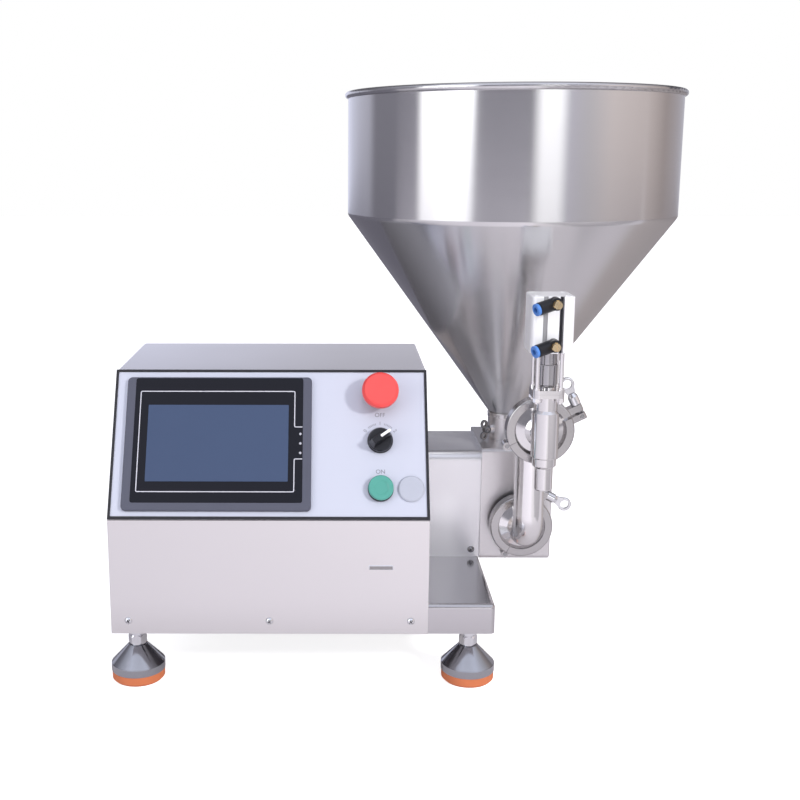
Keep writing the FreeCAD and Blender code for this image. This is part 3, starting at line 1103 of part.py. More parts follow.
def clamp_jaws():
    """Both half rings of a clamp about local z, ears on local +x and hinge on local -x."""
    inner = OUTLET_LIP_R - LIP_GRIP
    edge = GASKET_JOINT / 2 + LIP_EDGE + SEAT
    taper = LIP_GRIP * math.tan(math.radians(LIP_TAPER_DEG))
    side = edge + taper + CLAMP_SIDE
    ring = lathe([(inner, -side), (CLAMP_R, -side), (CLAMP_R, side), (inner, side), (inner, edge + taper),
                  (OUTLET_LIP_R + SEAT, edge), (OUTLET_LIP_R + SEAT, -edge), (inner, -edge - taper)])
    round_edges = [e for e in ring.Edges if e.Curve.TypeId == "Part::GeomCircle"]
    ring = ring.makeFillet(1.4, [e for e in round_edges if abs(e.Curve.Radius - CLAMP_R) < 0.01])
    far = CLAMP_R + 40
    hinge_x = -(CLAMP_R + HINGE_OFFSET)
    w = EAR_HALF_WIDTH
    slot = box(BOLT_X - CLAMP_BOLT_R - GAP, far, -far, far, -CLAMP_BOLT_R - GAP, CLAMP_BOLT_R + GAP)
    jaws = []
    for sign in (1, -1):
        near, away = sign * EAR_GAP / 2, sign * (EAR_GAP / 2 + EAR_THICK)
        ear = box(CLAMP_R - 2.5, CLAMP_R + EAR_REACH, min(near, away), max(near, away), -w, w)
        ear = ear.makeFillet(2.5, edges_along(ear, Y_AXIS, lambda c: c.x > CLAMP_R + EAR_REACH - 1))
        half = ring.common(box(-far, far, min(0, sign * far), max(0, sign * far), -far, far))
        half = half.cut(box(0, far, -EAR_GAP / 2, EAR_GAP / 2, -far, far))
        half = half.cut(box(-far, 0, -0.2, 0.2, -far, far))
        outer = [(-HINGE_HALF, -HINGE_MIDDLE - GAP), (HINGE_MIDDLE + GAP, HINGE_HALF)]
        inner_knuckle = [(-HINGE_MIDDLE, HINGE_MIDDLE)]
        own, other = (outer, inner_knuckle) if sign > 0 else (inner_knuckle, outer)
        for z0, z1 in other:
            half = half.cut(rod(HINGE_KNUCKLE_R + GAP, z1 - z0 + 2 * GAP, V(hinge_x, 0, z0 - GAP)))
        half = fuse(half, ear, *[rod(HINGE_KNUCKLE_R, z1 - z0, V(hinge_x, 0, z0)) for z0, z1 in own])
        cuts = [rod(HINGE_PIN_R + SEAT, 40, V(hinge_x, 0, -20)), slot]
        if sign < 0:
            half_slot = BOLT_EYE_HALF + GAP
            cuts.append(box(BOLT_X - BOLT_EYE_R - GAP, far, -far, 0, -half_slot, half_slot))
            cuts.append(rod(BOLT_PIN_R + SEAT, 40, V(BOLT_X, BOLT_PIVOT_Y, -20)))
        jaws.append(half.cut(group(cuts)))
    return jaws


def make_pipe_clamps():
    solids = []
    for place in clamp_places():
        for jaw in clamp_jaws():
            jaw.Placement = place.multiply(jaw.Placement)
            solids.append(jaw)
    return group(solids)


def make_clamp_bolts():
    """For each clamp: the swing bolt with its eye, the pin it swings on and the pin of the jaws' hinge."""
    solids = []
    top = EAR_GAP / 2 + EAR_THICK + RING_HUB_H - 1.5
    for place in clamp_places():
        shank = rod(CLAMP_BOLT_R, top - BOLT_PIVOT_Y, V(BOLT_X, BOLT_PIVOT_Y, 0), Y_AXIS)
        eye = rod(BOLT_EYE_R, 2 * BOLT_EYE_HALF, V(BOLT_X, BOLT_PIVOT_Y, -BOLT_EYE_HALF))
        bolt = fuse(shank, eye).cut(rod(BOLT_PIN_R + RUN, 20, V(BOLT_X, BOLT_PIVOT_Y, -10)))
        pin = rod(BOLT_PIN_R, 2 * EAR_HALF_WIDTH + 1, V(BOLT_X, BOLT_PIVOT_Y, -EAR_HALF_WIDTH - 0.5))
        hinge = rod(HINGE_PIN_R, 2 * HINGE_HALF + 1, V(-(CLAMP_R + HINGE_OFFSET), 0, -HINGE_HALF - 0.5))
        for solid in (bolt, pin, hinge):
            solid.Placement = place.multiply(solid.Placement)
            solids.append(solid)
    return group(solids)


def wing_nut(place):
    """Nut with a blind thread whose one wing is a large ring in line with it, standing on the ear."""
    hub = lathe([(0, 0), (RING_HUB_R, 0), (RING_HUB_R, RING_HUB_H - 4), (RING_HUB_R - 1.8, RING_HUB_H),
                 (0, RING_HUB_H)])
    corners = [(RING_HUB_R - 2, RING_HUB_H - 3), (RING_R * 0.8, RING_LIFT - RING_R * 0.55)]
    neck = prism([V(x, -RING_THICK / 2, z) for x, z in corners + [(-x, z) for x, z in reversed(corners)]],
                 V(0, RING_THICK, 0))
    nut = fuse(hub, neck, flat_loop(RING_R, RING_THICK, 0, RING_LIFT))
    nut = nut.cut(group([rod(CLAMP_BOLT_R + RUN, RING_HUB_H, V(0, 0, -1)),
                         rod(RING_HOLE_R, RING_THICK + 2, V(0, -RING_THICK / 2 - 1, RING_LIFT), Y_AXIS)]))
    seat = FreeCAD.Placement(V(BOLT_X, EAR_GAP / 2 + EAR_THICK + GAP, 0), FreeCAD.Rotation(X_AXIS, -90))
    nut.Placement = place.multiply(seat)
    return nut


def make_lower_wing_nut():
    return wing_nut(clamp_places()[0])


def make_upper_wing_nut():
    return wing_nut(clamp_places()[1])


# ---- discharge pipe ------------------------------------------------------------------------------
def pipe_run(radius, overrun):
    """Solid that follows the pipe: back stub, bend up, riser, bend forward, front stub."""
    half = GASKET_JOINT / 2
    low, high = OUTLET_Z + BEND_R, UPPER_JOINT_Z - BEND_R
    back, front = RISER_Y + BEND_R, RISER_Y - BEND_R
    start, end = OUTLET_FACE - half + overrun, UPPER_FACE + half - overrun
    disc = Part.Face(Part.Wire([Part.makeCircle(radius, V(OUTLET_X, back, OUTLET_Z), Y_AXIS)]))
    lower = disc.revolve(V(OUTLET_X, back, low), X_AXIS, -90)
    disc = Part.Face(Part.Wire([Part.makeCircle(radius, V(OUTLET_X, RISER_Y, high), Z_AXIS)]))
    upper = disc.revolve(V(OUTLET_X, front, high), X_AXIS, 90)
    return fuse(rod(radius, start - back, V(OUTLET_X, back, OUTLET_Z), Y_AXIS), lower,
                rod(radius, high - low, V(OUTLET_X, RISER_Y, low)), upper,
                rod(radius, front - end, V(OUTLET_X, end, UPPER_JOINT_Z), Y_AXIS))


def make_discharge_pipe():
    half = GASKET_JOINT / 2
    inner = PIPE_R - PIPE_WALL
    outline = ferrule_profile(OUTLET_LIP_R, PIPE_R, inner, 12)
    lower = lathe(outline, V(OUTLET_X, OUTLET_FACE - half, OUTLET_Z), V(0, -1, 0))
    upper = lathe(outline, V(OUTLET_X, UPPER_FACE + half, UPPER_JOINT_Z), Y_AXIS)
    return fuse(pipe_run(PIPE_R, 0), lower, upper).cut(pipe_run(inner, 5))


# ---- filling valve -------------------------------------------------------------------------------
def rod_places():
    s = ROD_SPACING / 2
    return [V(OUTLET_X + i * s, VALVE_Y + j * s, 0) for i in (-1, 1) for j in (-1, 1)]


def make_valve_body():
    axis = V(OUTLET_X, VALVE_Y, 0)
    barrel = lathe([(0, BARREL_BOTTOM), (BARREL_R - 1.2, BARREL_BOTTOM), (BARREL_R, BARREL_BOTTOM + 1.2),
                    (BARREL_R, BARREL_NECK_Z - 2), (BARREL_NECK_R, BARREL_NECK_Z + 1),
                    (BARREL_NECK_R, FLANGE_Z + 1), (0, FLANGE_Z + 1)], axis)
    plate = rounded_plate(FLANGE_SIZE, FLANGE_SIZE, FLANGE_THICK, FLANGE_CORNER_R, axis + V(0, 0, FLANGE_Z))
    half = GASKET_JOINT / 2
    bore = PIPE_R - PIPE_WALL
    taper = (OUTLET_LIP_R - PIPE_R) * math.tan(math.radians(LIP_TAPER_DEG))
    face = V(OUTLET_X, UPPER_FACE - half, UPPER_JOINT_Z)
    reach = VALVE_REACH - half
    port = lathe([(0, 0), (OUTLET_LIP_R, 0), (OUTLET_LIP_R, LIP_EDGE), (PIPE_R, LIP_EDGE + taper),
                  (PIPE_R, LIP_EDGE + taper + 2), (PORT_R, LIP_EDGE + taper + 6), (PORT_R, reach),
                  (0, reach)], face, V(0, -1, 0))
    passage = lathe([(0, -1), (bore, -1), (bore, 3), (PORT_BORE_R, 12), (PORT_BORE_R, reach), (0, reach)],
                    face, V(0, -1, 0))
    cuts = [passage, rod(BARREL_BORE_R, 100, axis + V(0, 0, BARREL_BOTTOM + SEAT_THICK)),
            rod(SEAT_BORE_R, 20, axis + V(0, 0, BARREL_BOTTOM - 5)),
            lathe([(0, 0), (SEAT_BORE_R, 0), (SEAT_BORE_R + 2, 2), (0, 2)],
                  axis + V(0, 0, BARREL_BOTTOM + SEAT_THICK - 2))]
    cuts += [rod(ROD_R + SEAT, 20, p + V(0, 0, FLANGE_Z - 5)) for p in rod_places()]
    return fuse(barrel, plate, port).cut(group(cuts))


def make_filling_nozzle():
    top = BARREL_BOTTOM - 0.05
    outline = [(NOZZLE_BORE_R, NOZZLE_TIP_Z), (NOZZLE_R - 0.6, NOZZLE_TIP_Z), (NOZZLE_R, NOZZLE_TIP_Z + 1),
               (NOZZLE_R, top - NOZZLE_COLLAR_H - 2), (NOZZLE_COLLAR_R - 1, top - NOZZLE_COLLAR_H),
               (NOZZLE_COLLAR_R, top - NOZZLE_COLLAR_H + 1), (NOZZLE_COLLAR_R, top), (NOZZLE_BORE_R, top)]
    return lathe(outline, V(OUTLET_X, VALVE_Y, 0))


def make_bonnet():
    axis = V(OUTLET_X, VALVE_Y, 0)
    plate = rounded_plate(FLANGE_SIZE, FLANGE_SIZE, FLANGE_THICK, FLANGE_CORNER_R, axis + V(0, 0, BONNET_Z))
    plug = rod(BARREL_BORE_R - SEAT, BONNET_PLUG_DEPTH + 1, axis + V(0, 0, BONNET_Z - BONNET_PLUG_DEPTH))
    boss = lathe([(0, 0), (BONNET_BOSS_R, 0), (BONNET_BOSS_R, BONNET_BOSS_H - 1),
                  (BONNET_BOSS_R - 1, BONNET_BOSS_H), (0, BONNET_BOSS_H)], axis + V(0, 0, BONNET_TOP))
    low = BONNET_Z - BONNET_PLUG_DEPTH
    cuts = [rod(STEM_ROD_R + RUN, 60, axis + V(0, 0, low - 5)),
            rod(STEM_ROD_R + 2.6, PACKING_H, axis + V(0, 0, low - 0.01))]
    cuts += [rod(ROD_R + SEAT, 20, p + V(0, 0, BONNET_Z - 5)) for p in rod_places()]
    return fuse(plate, plug, boss).cut(group(cuts))


def stem_packing():
    low = BONNET_Z - BONNET_PLUG_DEPTH
    return lathe([(STEM_ROD_R + RUN, low), (STEM_ROD_R + 2.5, low), (STEM_ROD_R + 2.5, low + PACKING_H - 0.1),
                  (STEM_ROD_R + RUN, low + PACKING_H - 0.1)], V(OUTLET_X, VALVE_Y, 0))


def make_valve_stem():
    """Plunger that shuts on the seat in the barrel, and its rod up into the coupler."""
    seat = BARREL_BOTTOM + SEAT_THICK
    outline = [(0, seat - 1.2), (SEAT_BORE_R - 0.5, seat - 1.2), (PLUNGER_R, seat + GAP + 1.2),
               (PLUNGER_R, seat + 8), (STEM_ROD_R, seat + 13), (STEM_ROD_R, COUPLER_BOTTOM + STEM_GRIP),
               (0, COUPLER_BOTTOM + STEM_GRIP)]
    return lathe(outline, V(OUTLET_X, VALVE_Y, 0))


def make_piston():
    """Air piston with its rod, and the cup-shaped coupler that takes the valve stem."""
    low = ACTUATOR_BOTTOM + CYLINDER_END + GAP
    high = low + PISTON_H
    r = CYLINDER_BORE_R - RUN
    cup_r = SLEEVE_R + GAP
    grip = COUPLER_BOTTOM + STEM_GRIP + RUN
    floor = COUPLER_BOTTOM + STEM_GRIP + COUPLER_FLOOR
    outline = [(STEM_ROD_R + RUN, COUPLER_BOTTOM), (COUPLER_R - 0.8, COUPLER_BOTTOM),
               (COUPLER_R, COUPLER_BOTTOM + 0.8), (COUPLER_R, COUPLER_TOP - 0.5),
               (COUPLER_R - 0.5, COUPLER_TOP), (cup_r, COUPLER_TOP), (cup_r, floor), (PISTON_ROD_R, floor),
               (PISTON_ROD_R, low), (r, low), (r, low + 6), (r - 1.5, low + 6), (r - 1.5, high - 6),
               (r, high - 6), (r, high), (0, high), (0, grip), (STEM_ROD_R + RUN, grip)]
    return lathe(outline, V(OUTLET_X, VALVE_Y, 0))


def make_tie_rods():
    """Four rods from the valve's flanges up into the actuator, with a nut below the flanges on each."""
    rods = []
    for p in rod_places():
        low = FLANGE_Z - ROD_NUT_H - 1.6
        shaft = rod(ROD_R, ACTUATOR_BOTTOM + 8 - low, p + V(0, 0, low))
        collar = rod(ROD_R + 0.9, 2, p + V(0, 0, BONNET_TOP))
        rods.append(fuse(shaft, hex_prism(ROD_NUT_AF, ROD_NUT_H, p + V(0, 0, FLANGE_Z - ROD_NUT_H)), collar))
    return group(rods)


def actuator_block(z0, z1):
    return rounded_plate(ACTUATOR_SIZE, ACTUATOR_SIZE, z1 - z0, ACTUATOR_CORNER_R, V(OUTLET_X, VALVE_Y, z0))


def air_port_heights():
    return [ACTUATOR_BOTTOM + AIR_INSET_LOW, ACTUATOR_TOP - AIR_INSET_HIGH]


def sensor_slots():
    """Two grooves down the whole front of the actuator."""
    front = VALVE_Y - ACTUATOR_SIZE / 2
    lefts = [OUTLET_X + side * SLOT_OFFSET - SLOT_WIDTH / 2 for side in (-1, 1)]
    return [box(x, x + SLOT_WIDTH, front - 1, front + SLOT_DEPTH, ACTUATOR_BOTTOM - 1, ACTUATOR_TOP + 1)
            for x in lefts]


def make_actuator_body():
    """Square cylinder with a sleeve below it that guides the piston rod."""
    front = VALVE_Y - ACTUATOR_SIZE / 2
    axis = V(OUTLET_X, VALVE_Y, 0)
    sleeve = rod(SLEEVE_R, ACTUATOR_BOTTOM - SLEEVE_BOTTOM + 1, axis + V(0, 0, SLEEVE_BOTTOM))
    body = fuse(actuator_block(ACTUATOR_BOTTOM, CAP_BOTTOM - 0.05), sleeve)
    floor = ACTUATOR_BOTTOM + CYLINDER_END
    cuts = sensor_slots() + [rod(CYLINDER_BORE_R, 100, axis + V(0, 0, floor)),
                             rod(PISTON_ROD_R + RUN, 60, axis + V(0, 0, SLEEVE_BOTTOM - 5))]
    cuts += [rod(ROD_R + SEAT, 13.5, p + V(0, 0, ACTUATOR_BOTTOM - 5)) for p in rod_places()]
    z = air_port_heights()[0]
    cuts.append(rod(AIR_DRILL_R, 12, V(OUTLET_X, front - 1, z), Y_AXIS))
    cuts.append(rod(AIR_DRILL_R - 0.6, floor - z + 1, V(OUTLET_X, front + 9, z)))
    return body.cut(group(cuts))


def make_actuator_cap():
    front = VALVE_Y - ACTUATOR_SIZE / 2
    cap = actuator_block(CAP_BOTTOM, ACTUATOR_TOP)
    cap = cap.makeFillet(1.6, [e for e in cap.Edges if e.CenterOfMass.z > ACTUATOR_TOP - 0.01])
    z = air_port_heights()[1]
    cuts = sensor_slots() + [rod(AIR_DRILL_R, 12, V(OUTLET_X, front - 1, z), Y_AXIS),
                             rod(AIR_DRILL_R - 0.6, z - CAP_BOTTOM + 1,
                                 V(OUTLET_X, front + 9, CAP_BOTTOM - 1))]
    reach = ACTUATOR_SIZE / 2 - CAP_SCREW_INSET
    for x in (-reach, reach):
        for y in (-reach, reach):
            cuts.append(rod(CAP_SCREW_R, 5, V(OUTLET_X + x, VALVE_Y + y, ACTUATOR_TOP - 4)))
    return cap.cut(group(cuts))


def fitting_arm():
    """Direction of a fitting's arm: to the left, a little forward and down."""
    droop, forward = math.radians(FITTING_DROOP_DEG), math.radians(FITTING_FORWARD_DEG)
    return V(-math.cos(droop) * math.cos(forward), -math.cos(droop) * math.sin(forward), -math.sin(droop))


def fitting_middle(z):
    return V(OUTLET_X, VALVE_Y - ACTUATOR_SIZE / 2 - FITTING_R - 1, z)


def make_speed_fittings():
    fittings = []
    front = VALVE_Y - ACTUATOR_SIZE / 2
    for z in air_port_heights():
        stem = rod(AIR_DRILL_R - RUN, 6, V(OUTLET_X, front - 1, z), Y_AXIS)
        hexagon = hex_prism(FITTING_HEX_AF, FITTING_HEX_H, V(OUTLET_X, front - 0.05, z), V(0, -1, 0))
        body = rod(FITTING_R, FITTING_LENGTH - 3, V(OUTLET_X, front - 3, z), V(0, -1, 0))
        arm = rod(FITTING_ARM_R, FITTING_ARM, fitting_middle(z), fitting_arm())
        mouth = fitting_middle(z) + fitting_arm() * (FITTING_ARM - COLLET_DEPTH)
        piece = fuse(stem, hexagon, body, arm)
        face = V(OUTLET_X, front - FITTING_LENGTH, z)
        bore = rod(NEEDLE_SHANK_R + RUN, NEEDLE_DEPTH + 1, face - Y_AXIS, Y_AXIS)
        spot_face = rod(NEEDLE_R + GAP, NEEDLE_HEAD, face, V(0, -1, 0))
        fittings.append(piece.cut(group([rod(COLLET_SHANK_R + SEAT, 20, mouth, fitting_arm()), bore,
                                         spot_face])))
    return group(fittings)


def make_release_collars():
    collars = []
    for z in air_port_heights():
        end = fitting_middle(z) + fitting_arm() * (FITTING_ARM + GAP)
        shank = rod(COLLET_SHANK_R, COLLET_DEPTH, end - fitting_arm() * (COLLET_DEPTH - 0.5), fitting_arm())
        flange = rod(COLLET_R, COLLET_PROUD, end, fitting_arm())
        flange = flange.makeFillet(0.7, [e for e in flange.Edges if e.Curve.TypeId == "Part::GeomCircle"])
        bore = rod(TUBE_BORE_R, 30, end - fitting_arm() * 15, fitting_arm())
        collars.append(fuse(shank, flange).cut(bore))
    return group(collars)


def needle_screw(z):
    start = VALVE_Y - ACTUATOR_SIZE / 2 - FITTING_LENGTH
    front = V(0, -1, 0)
    head = hex_prism(2 * NEEDLE_R * 0.92, NEEDLE_HEAD - 3, V(OUTLET_X, start - GAP - 3, z), front)
    collar = rod(NEEDLE_R, 3.2, V(OUTLET_X, start - GAP, z), front)
    shank = rod(NEEDLE_SHANK_R, NEEDLE_DEPTH, V(OUTLET_X, start + NEEDLE_DEPTH - GAP - 0.5, z), front)
    tip, half = start - GAP - NEEDLE_HEAD, NEEDLE_SLOT / 2
    slot = box(OUTLET_X - half, OUTLET_X + half, tip - 1, tip + NEEDLE_SLOT, z - 8, z + 8)
    return fuse(head, collar, shank).cut(slot)


def make_lower_needle():
    return needle_screw(air_port_heights()[0])


def make_upper_needle():
    return needle_screw(air_port_heights()[1])


# ---- all pieces ----------------------------------------------------------------------------------
PIECES = [
    make_base_tray, make_enclosure_shell, make_lower_front_panel, make_rear_panel, make_panel_screws,
    make_panel_gasket, make_control_panel, make_hmi_housing, make_hmi_screen, make_device_collars,
    make_contact_blocks, make_estop_stem, make_estop_head, make_selector_knob, make_start_button,
    make_blanking_plug, make_cable_gland, make_solenoid_valve, make_power_supply,
    make_foot_pads, make_foot_bases, make_foot_weld_nuts, make_servo_motor, make_planetary_gearbox,
    make_gear_case, make_shaft_bearings, make_pump_plate, make_drive_housing, make_housing_screws,
    make_drive_shaft, make_drive_rotor, make_idler_shaft, make_idler_rotor, make_pump_body,
    make_pump_cover, make_cover_bolts, make_product_seals, make_hopper, make_neck_wing_screw,
    make_discharge_pipe, make_pipe_clamps, make_clamp_bolts, make_lower_wing_nut, make_upper_wing_nut,
    make_valve_body, make_filling_nozzle, make_bonnet, make_valve_stem,
    make_piston, make_tie_rods, make_actuator_body, make_actuator_cap, make_speed_fittings,
    make_release_collars, make_lower_needle, make_upper_needle,
]

shapes = {maker.__name__[5:]: maker() for maker in PIECES}
for number, (foot_x, foot_y) in enumerate(FEET, 1):
    shapes["foot_stud_%d" % number] = make_foot_stud(foot_x, foot_y)

whole = FreeCAD.BoundBox()
for shape in shapes.values():
    whole.add(shape.optimalBoundingBox(False))
shift = V(-(whole.XMin + whole.XMax) / 2, -(whole.YMin + whole.YMax) / 2, -whole.ZMin)
os.makedirs("parts", exist_ok=True)
for name, shape in shapes.items():
    shape.translate(shift)
    shape.exportStep("parts/%s.step" % name)
print("nodes %d, shift %.3f %.3f %.3f, size %.1f %.1f %.1f" % (len(shapes), shift.x, shift.y, shift.z,
                                                           whole.XLength, whole.YLength, whole.ZLength))
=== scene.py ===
"""Looks of the donut filling machine: finishes, printed marks, weld, seam, small trim and painted shade on
the model.
"""
import json
import math

import bmesh
import bpy
from mathutils import Matrix, Vector


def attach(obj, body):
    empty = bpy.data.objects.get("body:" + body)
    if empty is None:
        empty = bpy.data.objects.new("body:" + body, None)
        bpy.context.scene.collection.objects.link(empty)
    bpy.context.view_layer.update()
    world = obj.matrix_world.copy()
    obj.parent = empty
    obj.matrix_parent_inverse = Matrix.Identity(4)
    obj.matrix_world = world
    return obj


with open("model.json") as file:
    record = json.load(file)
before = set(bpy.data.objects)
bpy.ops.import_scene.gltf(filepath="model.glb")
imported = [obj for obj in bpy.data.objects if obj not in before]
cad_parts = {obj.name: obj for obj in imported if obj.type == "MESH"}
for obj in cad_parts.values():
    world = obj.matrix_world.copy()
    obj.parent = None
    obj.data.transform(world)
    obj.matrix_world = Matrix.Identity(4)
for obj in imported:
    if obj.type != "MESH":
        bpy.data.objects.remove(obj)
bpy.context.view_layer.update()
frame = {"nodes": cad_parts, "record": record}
nodes = frame["nodes"]

MM = 0.001
SHIFT = Vector((-319.4, -176.0, 67.0))   # from the maker's drawing, in mm, to the model

# ---- where the machine's own pieces stand, in the drawing's mm -----------------------------------
PANEL_FOOT_Z = 130.0                     # lower edge of the sloping panel
PANEL_RUN, PANEL_FALL = 0.4917, 0.8708   # depth and height won by each mm up the slope
SHEET_W = 1.5                            # face of the panel sheet above its back
SCREEN_W = 7.0                           # face of the screen's overlay above the panel's back
GRIP_W = 22.4                            # top of the selector's grip above the panel's back
DEVICE_X = 293.5                         # column of the stop head, the selector and the start button
SELECTOR_S = 87.0                        # middle of the selector, up the slope
SELECTOR_STOPS = (("0", 145.0), ("1", 90.0), ("2", 35.0))   # each number with its angle
SELECTOR_REST = 35.0                     # angle at which the selector stands
HOPPER_AXIS = (451.0, 201.0)
VALVE_X, VALVE_FRONT = 465.0, -22.0

# ---- how the added pieces are made ---------------------------------------------------------------
INK = 0.05               # half the thickness of printing
SMOOTH_DEG = 35          # edges sharper than this stay crisp


# ---- places --------------------------------------------------------------------------------------
def drawing():
    """From the drawing's millimetres to the model's metres."""
    return Matrix.Scale(MM, 4) @ Matrix.Translation(SHIFT)


def on_panel(x, s, w):
    """A place on the sloping panel: x across, s up the slope, w out of it."""
    slope = Matrix(((1, 0, 0, 0),
                    (0, PANEL_RUN, -PANEL_FALL, 0),
                    (0, PANEL_FALL, PANEL_RUN, PANEL_FOOT_Z),
                    (0, 0, 0, 1)))
    return drawing() @ slope @ Matrix.Translation((x, s, w))


def facing(x, y, z, direction):
    """A place in the drawing with local z turned to a direction."""
    turn = Vector(direction).to_track_quat("Z", "Y").to_matrix().to_4x4()
    return drawing() @ Matrix.Translation((x, y, z)) @ turn


# ---- making a piece ------------------------------------------------------------------------------
def settle(name, bm, place, body, material):
    """Puts a finished mesh in its place and gives it a body and a finish."""
    bmesh.ops.transform(bm, matrix=place, verts=bm.verts)
    bmesh.ops.recalc_face_normals(bm, faces=bm.faces)
    mesh = bpy.data.meshes.new(name)
    bm.to_mesh(mesh)
    bm.free()
    for face in mesh.polygons:
        face.use_smooth = True
    mesh.set_sharp_from_angle(angle=math.radians(SMOOTH_DEG))
    piece = bpy.data.objects.new(name, mesh)
    bpy.context.scene.collection.objects.link(piece)
    mesh.materials.append(material)
    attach(piece, body)


def add_block(bm, x0, x1, y0, y1, z0, z1):
    """A block between two corners; returns its vertices."""
    made = bmesh.ops.create_cube(bm, size=1)["verts"]
    size = Matrix.Diagonal((x1 - x0, y1 - y0, z1 - z0, 1))
    middle = Matrix.Translation(((x0 + x1) / 2, (y0 + y1) / 2, (z0 + z1) / 2))
    bmesh.ops.transform(bm, matrix=middle @ size, verts=made)
    return made


def add_plate(bm, width, height, thick, corner, centre=(0, 0)):
    """A thin plate with rounded corners, standing on z = 0."""
    x, y = centre
    made = add_block(bm, x - width / 2, x + width / 2, y - height / 2, y + height / 2, 0, thick)
    edges = {e for v in made for e in v.link_edges}
    uprights = [e for e in edges if abs(e.verts[0].co.z - e.verts[1].co.z) > thick / 2]
    bmesh.ops.bevel(bm, geom=uprights, offset=corner, affect="EDGES", segments=4, profile=0.5, material=-1)


def add_ring(bm, radius, tube, steps, rounds):
    """A round ring about z, spun from a small circle."""
    circle = bmesh.ops.create_circle(bm, segments=rounds, radius=tube)["verts"]
    lift = Matrix.Translation((radius, 0, 0)) @ Matrix.Rotation(math.pi / 2, 4, "X")
    bmesh.ops.transform(bm, matrix=lift, verts=circle)
    edges = list({e for v in circle for e in v.link_edges})
    bmesh.ops.spin(bm, geom=edges + circle, cent=(0, 0, 0), axis=(0, 0, 1), angle=math.tau, steps=steps,
                   use_merge=True)
    bmesh.ops.remove_doubles(bm, verts=bm.verts, dist=1e-5)


def mesh_of(holder):
    """The mesh of a text or a curve; what held it is taken away."""
    bpy.context.scene.collection.objects.link(holder)
    bpy.context.view_layer.update()
    mesh = bpy.data.meshes.new_from_object(holder)
    bpy.data.objects.remove(holder)
    return mesh


def ink_line(name, points, width, place, body, material):
    """A printed line through the points: one flat rounded stroke on the local plane."""
    curve = bpy.data.curves.new(name + "_strokes", "CURVE")
    curve.dimensions = "3D"
    curve.bevel_depth = width / 2
    curve.bevel_resolution = 2
    curve.use_fill_caps = True
    spline = curve.splines.new("POLY")
    spline.points.add(len(points) - 1)
    for target, (x, y) in zip(spline.points, points):
        target.co = (x, y, 0, 1)
    bm = bmesh.new()
    bm.from_mesh(mesh_of(bpy.data.objects.new(name + "_strokes", curve)))
    bmesh.ops.transform(bm, matrix=Matrix.Diagonal((1, 1, 2 * INK / width, 1)), verts=bm.verts)
    settle(name, bm, place, body, material)


def softened(points, radius, steps=4):
    """The same open line with each corner taken round an arc."""
    out = [points[0]]
    for before, corner, after in zip(points, points[1:], points[2:]):
        here = Vector(corner)
        back = (Vector(before) - here).normalized() * radius
        on = (Vector(after) - here).normalized() * radius
        for k in range(steps + 1):
            t = k / steps
            spot = (here + back) * (1 - t) ** 2 + here * 2 * t * (1 - t) + (here + on) * t ** 2
            out.append((spot.x, spot.y))
    out.append(points[-1])
    return out


def add_text(bm, text, size, x, y, turn):
    """A number or a word set in the plain built-in face, laid flat on the local plane."""
    face = bpy.data.curves.new("printed_text", "FONT")
    face.body = text
    face.size = size
    face.align_x = "CENTER"
    face.align_y = "CENTER"
    face.extrude = INK
    mesh = mesh_of(bpy.data.objects.new("printed_text", face))
    mesh.transform(Matrix.Translation((x, y, 0)) @ Matrix.Rotation(turn, 4, "Z"))
    bm.from_mesh(mesh)


# ---- shader nodes --------------------------------------------------------------------------------
def mixed(tree, factor, first, second):
    """One colour turning into another; each is a colour or a socket."""
    mix = tree.nodes.new("ShaderNodeMix")
    mix.data_type = "RGBA"
    tree.links.new(factor, mix.inputs["Factor"])
    for socket, colour in (("A", first), ("B", second)):
        if isinstance(colour, tuple):
            mix.inputs[socket].default_value = (*colour, 1)
        else:
            tree.links.new(colour, mix.inputs[socket])
    return mix.outputs["Result"]


def blend(tree, value, start, end, first, second):
    """The first colour where a value is up to start, the second from end on, and a soft change between."""
    span = tree.nodes.new("ShaderNodeMapRange")
    span.interpolation_type = "SMOOTHSTEP"
    span.inputs["From Min"].default_value = start
    span.inputs["From Max"].default_value = end
    tree.links.new(value, span.inputs["Value"])
    return mixed(tree, span.outputs[0], first, second)


def ray_kind(tree, kind):
    """1 for rays of that kind and 0 for all others."""
    return tree.nodes.new("ShaderNodeLightPath").outputs[kind]


def parts_of(tree, coordinates):
    """X, Y and Z of the texture coordinates of that name."""
    split = tree.nodes.new("ShaderNodeSeparateXYZ")
    tree.links.new(tree.nodes.new("ShaderNodeTexCoord").outputs[coordinates], split.inputs[0])
    return split.outputs


def colour_ramp(tree, value, stops):
    """Colours along a value, each at its own position."""
    ramp = tree.nodes.new("ShaderNodeValToRGB")
    ramp.color_ramp.interpolation = "LINEAR"
    spots = ramp.color_ramp.elements
    while len(spots) < len(stops):
        spots.new(0.5)
    for spot, (position, colour) in zip(spots, stops):
        spot.position = position
        spot.color = (*colour, 1)
    tree.links.new(value, ramp.inputs["Fac"])
    return ramp.outputs["Color"]


def new_group(name, inputs, outputs):
    """A shared effect, with its entry and its exit; inputs and outputs have a name and a kind each."""
    group = bpy.data.node_groups.new(name, "ShaderNodeTree")
    for label, kind, value in inputs:
        socket = group.interface.new_socket(label, in_out="INPUT", socket_type="NodeSocket" + kind)
        socket.default_value = value
    for label, kind in outputs:
        group.interface.new_socket(label, in_out="OUTPUT", socket_type="NodeSocket" + kind)
    return group, group.nodes.new("NodeGroupInput"), group.nodes.new("NodeGroupOutput")


